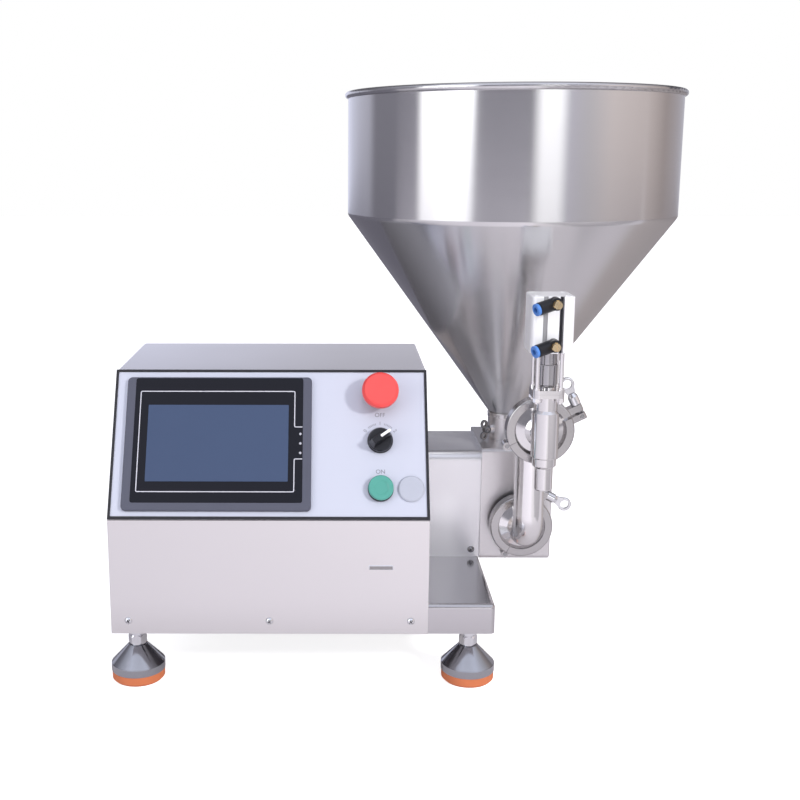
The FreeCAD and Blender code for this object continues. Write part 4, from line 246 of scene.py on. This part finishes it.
def noise(tree, vector, scale, detail, roughness=0.55):
    """A noise pattern; its scale is a number or a socket."""
    node = tree.nodes.new("ShaderNodeTexNoise")
    node.inputs["Detail"].default_value = detail
    node.inputs["Roughness"].default_value = roughness
    if isinstance(scale, float):
        node.inputs["Scale"].default_value = scale
    else:
        tree.links.new(scale, node.inputs["Scale"])
    tree.links.new(vector, node.inputs["Vector"])
    return node.outputs["Fac"]


def sums(tree, kind, first, second, third=None, clamp=False):
    """One Math node; each term is a number or a socket."""
    node = tree.nodes.new("ShaderNodeMath")
    node.operation = kind
    node.use_clamp = clamp
    for socket, term in zip(node.inputs, (first, second, third)):
        if term is None:
            continue
        if isinstance(term, (int, float)):
            socket.default_value = term
        else:
            tree.links.new(term, socket)
    return node.outputs[0]


def shaded(tree, colour, gain):
    """A colour made lighter or darker by a gain about 1."""
    tint = tree.nodes.new("ShaderNodeVectorMath")
    tint.operation = "SCALE"
    tree.links.new(colour, tint.inputs[0])
    tree.links.new(gain, tint.inputs["Scale"])
    return tint.outputs[0]


# ---- shared effects ------------------------------------------------------------------------------
def brushed_group():
    """Long fine scratches along one direction, with broad handling marks over them."""
    group, entry, leave = new_group(
        "brushed grain",
        [("Along", "Vector", (0, 0, 0)), ("Place", "Vector", (0, 0, 0)),
         ("Colour", "Color", (0.7, 0.7, 0.7, 1)), ("Contrast", "Float", 0.1), ("Roughness", "Float", 0.3),
         ("Spread", "Float", 0.1), ("Mark Scale", "Float", 9.0)],
        [("Colour", "Color"), ("Roughness", "Float"), ("Height", "Float")])
    place, spots = entry.outputs["Place"], entry.outputs["Mark Scale"]
    scratch = noise(group, entry.outputs["Along"], scale=1.0, detail=6.0, roughness=0.62)
    marks = noise(group, place, scale=spots, detail=3.0, roughness=0.5)
    lean = sums(group, "SUBTRACT", scratch, 0.5)
    broad = sums(group, "SUBTRACT", marks, 0.5)
    contrast, spread = entry.outputs["Contrast"], entry.outputs["Spread"]
    gain = sums(group, "MULTIPLY_ADD", lean, contrast, 1.0)
    gain = sums(group, "MULTIPLY_ADD", broad, sums(group, "MULTIPLY", contrast, 0.6), gain)
    group.links.new(shaded(group, entry.outputs["Colour"], gain), leave.inputs["Colour"])
    rough = sums(group, "MULTIPLY_ADD", broad, spread, entry.outputs["Roughness"])
    rough = sums(group, "MULTIPLY_ADD", lean, sums(group, "MULTIPLY", spread, 0.7), rough, clamp=True)
    group.links.new(rough, leave.inputs["Roughness"])
    group.links.new(scratch, leave.inputs["Height"])
    return group


def moulded_group():
    """Fine moulded texture with slight shading and shine changes, as on plastics, paint and rubber."""
    group, entry, leave = new_group(
        "moulded surface",
        [("Place", "Vector", (0, 0, 0)), ("Colour", "Color", (0.1, 0.1, 0.1, 1)),
         ("Fine Scale", "Float", 1500.0), ("Shade", "Float", 0.1), ("Roughness", "Float", 0.4),
         ("Spread", "Float", 0.15)],
        [("Colour", "Color"), ("Roughness", "Float"), ("Height", "Float")])
    place = entry.outputs["Place"]
    fine = noise(group, place, scale=entry.outputs["Fine Scale"], detail=2.0)
    broad = sums(group, "SUBTRACT", noise(group, place, scale=45.0, detail=3.0), 0.5)
    gain = sums(group, "MULTIPLY_ADD", broad, entry.outputs["Shade"], 1.0)
    group.links.new(shaded(group, entry.outputs["Colour"], gain), leave.inputs["Colour"])
    spread = entry.outputs["Spread"]
    rough = sums(group, "MULTIPLY_ADD", broad, spread, entry.outputs["Roughness"], clamp=True)
    group.links.new(rough, leave.inputs["Roughness"])
    group.links.new(fine, leave.inputs["Height"])
    return group


BRUSHED = brushed_group()
MOULDED = moulded_group()


# ---- materials -----------------------------------------------------------------------------------
# how fine the grain is along x, y and z
ALONG_X = (10.0, 700.0, 700.0)
ALONG_Z = (420.0, 420.0, 14.0)
ROUND_Z = (9.0, 9.0, 520.0)
EVEN = (240.0, 240.0, 240.0)
ROUGH_WELD = (600.0, 600.0, 600.0)


def start_material(name, group, colour, settings, stretch=None):
    """A Principled material fed by a shared effect; returns the material, its tree, shader and effect."""
    material = bpy.data.materials.new(name)
    material.use_nodes = True
    material.diffuse_color = (*colour, 1)
    tree = material.node_tree
    shader = tree.nodes["Principled BSDF"]
    place = tree.nodes.new("ShaderNodeTexCoord").outputs["Object"]
    effect = tree.nodes.new("ShaderNodeGroup")
    effect.node_tree = group
    tree.links.new(place, effect.inputs["Place"])
    if stretch is not None:
        pull = tree.nodes.new("ShaderNodeMapping")
        pull.inputs["Scale"].default_value = stretch
        tree.links.new(place, pull.inputs["Vector"])
        tree.links.new(pull.outputs["Vector"], effect.inputs["Along"])
    effect.inputs["Colour"].default_value = (*colour, 1)
    for label, value in settings.items():
        effect.inputs[label].default_value = value
    tree.links.new(effect.outputs["Colour"], shader.inputs["Base Color"])
    tree.links.new(effect.outputs["Roughness"], shader.inputs["Roughness"])
    return material, tree, shader, effect


def add_bump(tree, shader, effect, strength, distance):
    """Fine relief from the effect's height."""
    bump = tree.nodes.new("ShaderNodeBump")
    bump.inputs["Strength"].default_value = strength
    bump.inputs["Distance"].default_value = distance
    tree.links.new(effect.outputs["Height"], bump.inputs["Height"])
    tree.links.new(bump.outputs["Normal"], shader.inputs["Normal"])


def metal(name, colour, rough, stretch, contrast, spread, marks, bump, depth=0.00004, metallic=1.0):
    """Brushed or ground metal; stretch is how fine the grain is along x, y and z."""
    settings = {"Contrast": contrast, "Roughness": rough, "Spread": spread, "Mark Scale": marks}
    material, tree, shader, effect = start_material(name, BRUSHED, colour, settings, stretch)
    shader.inputs["Metallic"].default_value = metallic
    add_bump(tree, shader, effect, bump, depth)
    return material


def spun(name, colour, rough):
    """Metal turned about its own upright axis: reflections spread up and down across the grain."""
    material = metal(name, colour, rough, ROUND_Z, contrast=0.05, spread=0.06, marks=6.0, bump=0.03)
    tree = material.node_tree
    shader = tree.nodes["Principled BSDF"]
    shader.inputs["Anisotropic"].default_value = 0.9
    shader.inputs["Anisotropic Rotation"].default_value = 0.25
    around = tree.nodes.new("ShaderNodeTangent")
    around.direction_type = "RADIAL"
    around.axis = "Z"
    tree.links.new(around.outputs[0], shader.inputs["Tangent"])
    return material


def moulding(name, colour, rough, fine=1500.0, shade=0.12, spread=0.15, bump=0.15, depth=0.00003,
             metallic=0.0, gloss=0.5):
    """Plastic, paint, rubber or printing."""
    settings = {"Fine Scale": fine, "Shade": shade, "Roughness": rough, "Spread": spread}
    material, tree, shader, effect = start_material(name, MOULDED, colour, settings)
    shader.inputs["Metallic"].default_value = metallic
    shader.inputs["Specular IOR Level"].default_value = gloss
    add_bump(tree, shader, effect, bump, depth)
    return material


def mute_in_mirrors(material, colour):
    """Other pieces mirror this one in a plainer colour."""
    tree = material.node_tree
    base = tree.nodes["Principled BSDF"].inputs["Base Color"]
    own = base.links[0].from_socket
    tree.links.new(mixed(tree, ray_kind(tree, "Is Glossy Ray"), own, colour), base)


# finishes of the material slots
FINISH = {
    "console_steel": metal("fine_brushed_sheet", (0.795, 0.78, 0.775), 0.17, ALONG_X,
                           contrast=0.03, spread=0.04, marks=7.0, bump=0.02),
    "polished_steel": metal("satin_polished_steel", (0.80, 0.79, 0.79), 0.12, EVEN,
                            contrast=0.06, spread=0.08, marks=30.0, bump=0.04),
    "hopper_steel": spun("spun_hopper_steel", (0.70, 0.695, 0.70), 0.20),
    "zinc_steel": metal("bright_zinc_plate", (0.84, 0.85, 0.87), 0.16, EVEN,
                        contrast=0.12, spread=0.14, marks=60.0, bump=0.08),
    "machine_steel": metal("ground_steel", (0.36, 0.36, 0.37), 0.26, EVEN,
                           contrast=0.18, spread=0.14, marks=60.0, bump=0.10),
    "aluminium": metal("satin_anodised_aluminium", (0.93, 0.93, 0.935), 0.34, ALONG_Z,
                       contrast=0.03, spread=0.06, marks=25.0, bump=0.03, metallic=0.22),
    "cast_case": metal("plain_casting", (0.36, 0.37, 0.38), 0.55, EVEN,
                       contrast=0.20, spread=0.10, marks=40.0, bump=0.5, depth=0.0002),
    "brass": metal("turned_brass", (0.84, 0.67, 0.41), 0.20, EVEN,
                   contrast=0.12, spread=0.12, marks=80.0, bump=0.08),
    "motor_paint": moulding("black_motor_paint", (0.03, 0.03, 0.034), 0.42),
    "black_plastic": moulding("black_moulding", (0.013, 0.0135, 0.017), 0.36, gloss=0.4),
    "grey_plastic": moulding("grey_bezel_moulding", (0.088, 0.092, 0.124), 0.45, gloss=0.4),
    "screen_black": moulding("black_overlay_film", (0.006, 0.0065, 0.011), 0.30, fine=200.0, shade=0.1,
                             spread=0.06, bump=0.02, depth=0.00001, gloss=0.25),
    "red_plastic": moulding("coral_red_moulding", (0.88, 0.085, 0.08), 0.42),
    "green_plastic": moulding("soft_green_moulding", (0.085, 0.335, 0.275), 0.36),
    "blue_plastic": moulding("blue_collar_moulding", (0.085, 0.235, 0.62), 0.34),
    "black_rubber": moulding("black_rubber", (0.020, 0.020, 0.024), 0.60, fine=900.0, bump=0.3),
    "white_rubber": moulding("white_silicone", (0.80, 0.79, 0.76), 0.50, fine=900.0),
    "pad_rubber": moulding("orange_brown_rubber", (0.64, 0.19, 0.075), 0.60, fine=700.0, shade=0.25,
                           bump=0.35),
}
mute_in_mirrors(FINISH["red_plastic"], (0.36, 0.31, 0.32))

# finishes of the added pieces
SCREEN_GLASS = moulding("unlit_display_glass", (0.060, 0.086, 0.155), 0.45, fine=300.0, shade=0.03,
                        spread=0.02, bump=0.0, depth=0.00001, gloss=0.12)
WHITE_INK = moulding("white_printing", (0.62, 0.62, 0.68), 0.45, fine=900.0)
GREY_INK = moulding("grey_printing", (0.20, 0.20, 0.24), 0.55, fine=900.0)
POINTER_WHITE = moulding("white_inlay", (0.85, 0.85, 0.86), 0.35, fine=900.0)
# painted shade: mid grey for the shade in a sensor groove
GROOVE_SHADE = moulding("grey_groove_shade", (0.30, 0.30, 0.31), 0.40)
# painted shade: grey for the louvre's shaded mouth
LOUVRE_MOUTH_SHADE = moulding("painted_louvre_shade", (0.23, 0.215, 0.22), 0.60)
# painted shade: near black, laid where a recess or groove only holds shade
RECESS_SHADE = moulding("painted_recess_shade", (0.03, 0.03, 0.035), 0.5, fine=800.0, metallic=0.6)
WELD = metal("ground_weld", (0.62, 0.60, 0.58), 0.30, ROUGH_WELD,
             contrast=0.3, spread=0.2, marks=200.0, bump=0.6, depth=0.0002)

# finishes of single nodes
PLUG_GREY = moulding("pale_grey_moulding", (0.44, 0.46, 0.53), 0.45)
PANEL_FACE = metal("matt_panel_plate", (0.62, 0.64, 0.73), 0.42, ALONG_X,
                   contrast=0.02, spread=0.04, marks=7.0, bump=0.02, metallic=0.3)
# painted shade: the console's sheet made darker so the tray looks shaded
SHADED_TRAY_SHEET = metal("brushed_tray_sheet_painted_shade", (0.60, 0.588, 0.60), 0.17, ALONG_X,
                  contrast=0.03, spread=0.04, marks=7.0, bump=0.02)
COVER_SHEET = metal("bright_cover_sheet", (0.97, 0.97, 0.985), 0.33, ALONG_X,
                    contrast=0.02, spread=0.04, marks=7.0, bump=0.02, metallic=0.75)
TURNED_STEEL = metal("turned_rod_steel", (0.47, 0.47, 0.48), 0.12, EVEN,
                     contrast=0.08, spread=0.10, marks=60.0, bump=0.06)
BLOCK_STEEL = metal("ground_block_steel", (0.79, 0.775, 0.78), 0.34, EVEN,
                    contrast=0.05, spread=0.05, marks=30.0, bump=0.02)
# duller cast steel, its darker colour also painted shade on the clamp rings
CLAMP_STEEL_SHADED = metal("cast_clamp_steel_painted_shade", (0.50, 0.49, 0.49), 0.20, EVEN,
                    contrast=0.10, spread=0.12, marks=60.0, bump=0.08)
TUBE_STEEL = metal("bright_tube_steel", (0.93, 0.92, 0.92), 0.13, EVEN,
                   contrast=0.03, spread=0.05, marks=30.0, bump=0.02)
FOOT_STEEL = metal("turned_foot_steel", (0.46, 0.47, 0.50), 0.15, EVEN,
                   contrast=0.08, spread=0.10, marks=60.0, bump=0.05)
DARK_ZINC = metal("dull_zinc_plate", (0.26, 0.26, 0.265), 0.30, EVEN,
                  contrast=0.14, spread=0.14, marks=60.0, bump=0.10)
NODE_FINISH = {
    "blanking_plug": PLUG_GREY, "control_panel": PANEL_FACE, "base_tray": SHADED_TRAY_SHEET,
    "drive_housing": COVER_SHEET, "piston": TURNED_STEEL, "pump_body": BLOCK_STEEL,
    "pump_cover": BLOCK_STEEL, "pipe_clamps": CLAMP_STEEL_SHADED, "discharge_pipe": TUBE_STEEL,
    "tie_rods": TUBE_STEEL, "foot_bases": FOOT_STEEL, "neck_wing_screw": DARK_ZINC,
}


def dress_nodes():
    """Every node takes the finish of its material slot, or its own where that differs."""
    for row in frame["record"]["subparts"]:
        node = nodes[row["node"]]
        finish = NODE_FINISH.get(row["node"], FINISH[row["material_slot"]])
        if not node.material_slots:
            node.data.materials.append(finish)
        for held in node.material_slots:
            held.material = finish


# ---- operator panel ------------------------------------------------------------------------------
def make_display_window():
    """The display's glass, a thin plate on the overlay."""
    width, height, thick, corner, sunk = 154.1, 85.9, 0.3, 0.8, 0.05
    middle_x, middle_s = 116.2, 83.2
    bm = bmesh.new()
    add_plate(bm, width, height, thick, corner)
    place = on_panel(middle_x, middle_s, SCREEN_W - sunk)
    settle("display_window", bm, place, "machine", SCREEN_GLASS)


def make_screen_border():
    """White border printed round the display, open at the right where three marks stand."""
    left, right, bottom, top = 30.0, 199.9, 29.0, 141.8
    notch, low, high = 208.6, 65.3, 101.2
    corner, stroke = 1.6, 1.0
    points = [(notch, high), (right, high), (right, top), (left, top), (left, bottom), (right, bottom),
              (right, low), (notch, low)]
    line = softened(points, corner)
    ink_line("screen_border", line, stroke, on_panel(0, 0, SCREEN_W), "machine", WHITE_INK)
    bm = bmesh.new()
    for spot in ((206.4, 93.3), (206.4, 82.6), (206.4, 72.0)):
        for width, height, round_off in ((2.6, 1.5, 0.4), (0.9, 3.0, 0.3)):
            add_plate(bm, width, height, 2 * INK, round_off, spot)
    settle("screen_marks", bm, on_panel(0, 0, SCREEN_W - INK), "machine", WHITE_INK)


def make_selector_marks():
    """Scale round the selector: three numbers with short strokes between them."""
    size, number_r = 5.6, 19.8
    stroke_width, stroke_length, stroke_r, round_off = 0.6, 2.2, 19.4, 0.2
    first_deg, last_deg, step_deg, clear_deg = 35, 145, 5, 12
    bm = bmesh.new()
    for number, angle in SELECTOR_STOPS:
        a = math.radians(angle)
        add_text(bm, number, size, number_r * math.cos(a), number_r * math.sin(a), a - math.pi / 2)
    for angle in range(first_deg, last_deg + 1, step_deg):
        if min(abs(angle - taken) for number, taken in SELECTOR_STOPS) < clear_deg:
            continue
        start = len(bm.verts)
        add_plate(bm, stroke_width, stroke_length, 2 * INK, round_off, (0, stroke_r))
        bm.verts.ensure_lookup_table()
        turn = Matrix.Rotation(math.radians(angle - 90), 4, "Z")
        bmesh.ops.transform(bm, matrix=turn, verts=bm.verts[start:])
    place = on_panel(DEVICE_X, SELECTOR_S, SHEET_W)
    settle("selector_scale", bm, place, "machine", GREY_INK)


def make_button_marks():
    """Plain words by the buttons: off under the stop head and on above the start button."""
    size = 6.6
    for name, word, s in (("stop_word", "OFF", 116.2), ("start_word", "ON", 52.4)):
        bm = bmesh.new()
        add_text(bm, word, size, 0, 0, 0)
        settle(name, bm, on_panel(DEVICE_X, s, SHEET_W), "machine", GREY_INK)


def make_selector_pointer():
    """White inlay along the grip, from the middle to the end that points."""
    length, width, thick, corner, middle, sunk = 12.6, 3.0, 0.16, 0.8, 6.6, 0.04
    bm = bmesh.new()
    add_plate(bm, length, width, thick, corner, (middle, 0))
    turn = Matrix.Rotation(math.radians(SELECTOR_REST), 4, "Z")
    place = on_panel(DEVICE_X, SELECTOR_S, GRIP_W - sunk) @ turn
    settle("selector_pointer", bm, place, "selector", POINTER_WHITE)


# ---- screws, weld, seam, trim and painted shade --------------------------------------------------
def add_cross(bm, place, reach, width, crown_r, lift):
    """Cross recess on a domed head, as painted shade: two crossing strips that follow the dome."""
    for turn in (0, math.pi / 2):
        strip = bmesh.ops.create_grid(bm, x_segments=8, y_segments=2, size=1)["verts"]
        shape = Matrix.Rotation(turn, 4, "Z") @ Matrix.Diagonal((reach, width / 2, 1, 1))
        bmesh.ops.transform(bm, matrix=shape, verts=strip)
        for v in strip:
            v.co.z = math.sqrt(crown_r ** 2 - v.co.x ** 2 - v.co.y ** 2) - crown_r + lift
        bmesh.ops.transform(bm, matrix=place, verts=strip)


def make_screw_crosses():
    """Painted shade for the cross recesses of the lower front panel's three screws and of the two on the
    drive cover.
    """
    head_r, head_h, reach, width, lift = 4.2, 2.6, 2.3, 0.9, 0.04
    panel_face, panel_z, panel_xs = -1.5, 15.0, (19.0, 173.0, 327.0)
    cover_front, cover_back, cover_x, cover_z = 147.0, 260.0, 409.0, 43.0
    crowns = [((x, panel_face - head_h, panel_z), -1, 0.4 + x) for x in panel_xs]
    crowns.append(((cover_x, cover_front - head_h, cover_z), -1, 0.7))
    crowns.append(((cover_x, cover_back + head_h, cover_z), 1, 0.7))
    crown_r = (head_r ** 2 + head_h ** 2) / (2 * head_h)
    bm = bmesh.new()
    to_mm = drawing().inverted()
    for spot, way, turn in crowns:
        place = to_mm @ facing(*spot, (0, way, 0)) @ Matrix.Rotation(turn, 4, "Z")
        add_cross(bm, place, reach, width, crown_r, lift)
    settle("screw_recess_shade", bm, drawing(), "machine", RECESS_SHADE)


def make_louvre_mouth():
    """Painted shade for the mouth of the pressed louvre: a grey plate laid on the slope of its hood."""
    width, height, thick, corner = 25.0, 3.1, 0.06, 0.6
    middle, hood_slope = (294.0, -2.98, 77.2), (0, -0.842, 0.539)
    bm = bmesh.new()
    add_plate(bm, width, height, thick, corner)
    settle("louvre_mouth", bm, facing(*middle, hood_slope), "machine", LOUVRE_MOUTH_SHADE)


def make_collar_weld():
    """Ground weld ring where the hopper's neck meets its collar."""
    radius, bead, z = 18.2, 0.9, 202.3
    bm = bmesh.new()
    add_ring(bm, radius, bead, steps=72, rounds=8)
    place = drawing() @ Matrix.Translation((*HOPPER_AXIS, z))
    settle("hopper_collar_weld", bm, place, "machine", WELD)


def make_groove_shade_strips():
    """Strips down the actuator's two sensor grooves, as painted shade in them; the right one is narrow and
    dark.
    """
    offset, front, back, low, high, round_off = 8.2, -0.2, 2.4, 315.4, 373.1, 0.15
    groove_y = VALVE_FRONT + 1.0
    for name, side, width, finish in (("left_groove_shade", -1, 4.4, GROOVE_SHADE),
                                      ("right_groove_shade", 1, 2.4, RECESS_SHADE)):
        bm = bmesh.new()
        add_block(bm, -width / 2, width / 2, front, back, low, high)
        bmesh.ops.bevel(bm, geom=bm.edges[:], offset=round_off, affect="EDGES", segments=2, profile=0.5,
                        material=-1)
        place = drawing() @ Matrix.Translation((VALVE_X + side * offset, groove_y, 0))
        settle(name, bm, place, "machine", finish)


def make_sleeve_face():
    """Turned face of the sleeve that guides the actuator's rod."""
    inner, outer, low, high = 8.58, 8.68, 300.4, 314.9
    bm = bmesh.new()
    corners = ((inner, low), (outer, low), (outer, high), (inner, high))
    section = [bm.verts.new((r, 0, z)) for r, z in corners]
    edges = [bm.edges.new((section[i], section[(i + 1) % 4])) for i in range(4)]
    bmesh.ops.spin(bm, geom=edges + section, cent=(0, 0, 0), axis=(0, 0, 1), angle=math.tau, steps=64,
                   use_merge=True)
    place = drawing() @ Matrix.Translation((VALVE_X, 0, 0))
    settle("sleeve_face", bm, place, "machine", TURNED_STEEL)


def make_hopper_seam():
    """The ground seam down the back of the hopper's bowl."""
    radius, low, high, half_width, sunk, thick = 192.0, 452.0, 576.0, 1.6, 0.04, 0.14
    bm = bmesh.new()
    line = [bm.verts.new((radius - sunk, 0, z)) for z in (low, high)]
    edge = bm.edges.new(line)
    angle = 2 * half_width / radius
    bmesh.ops.spin(bm, geom=[edge] + line, cent=(0, 0, 0), axis=(0, 0, 1), angle=angle, steps=4)
    bmesh.ops.solidify(bm, geom=bm.faces[:], thickness=thick)
    turn = Matrix.Rotation(math.pi / 2 - angle / 2, 4, "Z")
    place = drawing() @ Matrix.Translation((*HOPPER_AXIS, 0)) @ turn
    settle("hopper_back_seam", bm, place, "machine", WELD)


# ---- stage, lights and camera --------------------------------------------------------------------
WHITE = (1.0, 1.0, 1.0)


def make_floor():
    """A pale floor that keeps the shadow. Mirrors and bounced light see it in zones, in metres, of painted
    light and shade: brighter in front, darker behind and beside the machine.
    """
    mesh = bpy.data.meshes.new("floor")
    bm = bmesh.new()
    bmesh.ops.create_grid(bm, x_segments=1, y_segments=1, size=9)
    bm.to_mesh(mesh)
    bm.free()
    floor = bpy.data.objects.new("floor", mesh)
    bpy.context.scene.collection.objects.link(floor)
    material = bpy.data.materials.new("pale_floor")
    material.use_nodes = True
    tree = material.node_tree
    shader = tree.nodes["Principled BSDF"]
    shader.inputs["Roughness"].default_value = 0.9
    shader.inputs["Specular IOR Level"].default_value = 0.0
    place = parts_of(tree, "Object")

    def zone(way, start, end, first, second):
        """One colour up to a line across the floor, another beyond it."""
        return blend(tree, place[way], start, end, first, second)

    # painted light and shade for mirrors and bounced light: pale out in front, greyer nearer the machine
    open_floor = zone("X", 0.20, 0.34, (0.93, 0.885, 0.91), (0.74, 0.71, 0.71))
    in_front = zone("Y", -0.44, -0.24, open_floor, (0.70, 0.665, 0.68))
    # painted shade: dark floor behind the machine, seen only in mirrors and bounced light
    shade_behind = zone("X", 0.02, 0.34, (0.28, 0.27, 0.30), (0.54, 0.49, 0.465))
    lengthwise = zone("Y", 0.0, 0.16, in_front, shade_behind)
    # painted shade: a dark zone far out to the right in front, seen only in mirrors and bounced light
    shade_beside = zone("Y", -0.26, -0.14, (0.42, 0.40, 0.41), lengthwise)
    bounced = zone("X", 0.42, 0.52, lengthwise, shade_beside)
    seen = ray_kind(tree, "Is Camera Ray")
    tree.links.new(mixed(tree, seen, bounced, (0.85, 0.85, 0.85)), shader.inputs["Base Color"])
    shader.inputs["Emission Color"].default_value = (*WHITE, 1)
    glow = 0.78
    tree.links.new(sums(tree, "MULTIPLY", seen, glow), shader.inputs["Emission Strength"])
    mesh.materials.append(material)


def at(deg):
    """Where a direction stands on the world's ramps: 0 is straight in front, 90 to the right."""
    return 0.5 + deg / 360.0


def make_world():
    """White to the camera; a soft studio round the machine, with light panels, for everything else."""
    world = bpy.data.worlds.new("studio")
    bpy.context.scene.world = world
    world.use_nodes = True
    tree = world.node_tree
    tree.nodes.clear()
    way = parts_of(tree, "Generated")
    height = way["Z"]
    turn = sums(tree, "ARCTAN2", way["X"], sums(tree, "MULTIPLY", way["Y"], -1.0))
    turn = sums(tree, "MULTIPLY_ADD", turn, 1 / math.tau, 0.5)

    white, panel, warm = (2.2, 2.2, 2.25), (0.80, 0.78, 0.89), (0.92, 0.82, 0.80)
    grey, dark, shade = (0.235, 0.23, 0.265), (0.27, 0.265, 0.31), (0.44, 0.38, 0.37)
    side, far, back = (0.60, 0.60, 0.70), (0.82, 0.84, 1.02), (0.66, 0.66, 0.76)
    front, rear, zenith = (0.95, 0.98, 1.13), (0.15, 0.145, 0.165), (0.62, 0.63, 0.70)
    walls = colour_ramp(tree, turn, [
        (0.0, back), (at(-170), far), (at(-123), side), (at(-115), dark), (at(-75), dark), (at(-70), white),
        (at(-37), white), (at(-32), grey), (at(4), grey), (at(11), white), (at(23), white), (at(29), panel),
        (at(42), (0.80, 0.77, 0.80)), (at(60), warm), (at(88), (0.78, 0.69, 0.67)), (at(112), shade),
        (at(150), (0.50, 0.49, 0.55)), (1.0, back)])
    upper = colour_ramp(tree, turn, [
        (0.0, rear), (at(-128), rear), (at(-110), dark), (at(-75), dark), (at(-70), white), (at(-45), white),
        (at(-38), grey), (at(40), grey), (at(60), warm), (at(112), shade), (at(135), rear), (1.0, rear)])
    sky = colour_ramp(tree, turn, [
        (0.0, rear), (at(-140), rear), (at(-80), (0.60, 0.61, 0.70)), (at(-40), front), (at(50), front),
        (at(100), (0.56, 0.54, 0.57)), (at(140), rear), (1.0, rear)])
    room = blend(tree, height, 0.205, 0.245, walls, upper)
    room = blend(tree, height, 0.40, 0.60, room, sky)
    room = blend(tree, height, 0.82, 0.97, room, zenith)
    light = tree.nodes.new("ShaderNodeBackground")
    tree.links.new(mixed(tree, ray_kind(tree, "Is Camera Ray"), room, WHITE), light.inputs["Color"])
    out = tree.nodes.new("ShaderNodeOutputWorld")
    tree.links.new(light.outputs[0], out.inputs["Surface"])


def make_lamp(name, place, aim, width, watts, colour=WHITE, mirrored=True):
    """A square light panel that looks at a point."""
    lamp = bpy.data.lights.new(name, "AREA")
    lamp.shape = "RECTANGLE"
    lamp.size = lamp.size_y = width
    lamp.energy = watts
    lamp.color = colour
    holder = bpy.data.objects.new(name, lamp)
    holder.location = place
    holder.rotation_euler = (Vector(aim) - Vector(place)).to_track_quat("-Z", "Y").to_euler()
    holder.visible_glossy = mirrored
    bpy.context.scene.collection.objects.link(holder)


def make_camera():
    """In front of the console's right half, looking a little down."""
    look_down, turn_left = 0.199, 0.007
    camera = bpy.data.cameras.new("camera")
    camera.lens = 49.73
    camera.sensor_width = 36.0
    camera.shift_x = 0.088
    camera.shift_y = -0.030
    holder = bpy.data.objects.new("camera", camera)
    holder.location = (-0.0730, -1.3050, 0.5819)
    holder.rotation_euler = (math.pi / 2 - look_down, 0, turn_left)
    bpy.context.scene.collection.objects.link(holder)
    bpy.context.scene.camera = holder


make_camera()
make_world()
make_floor()
make_lamp("key_panel", (1.69, -2.0, 1.46), (0, 0, 0.25), width=0.32, watts=52, mirrored=False)
make_lamp("fill_panel", (-1.8, -1.9, 1.4), (0, 0, 0.3), width=1.4, watts=8, colour=(0.95, 0.97, 1.0))
dress_nodes()
make_display_window()
make_screen_border()
make_selector_marks()
make_button_marks()
make_selector_pointer()
make_screw_crosses()
make_louvre_mouth()
make_collar_weld()
make_hopper_seam()
make_groove_shade_strips()
make_sleeve_face()
bpy.context.scene.view_settings.view_transform = "Standard"
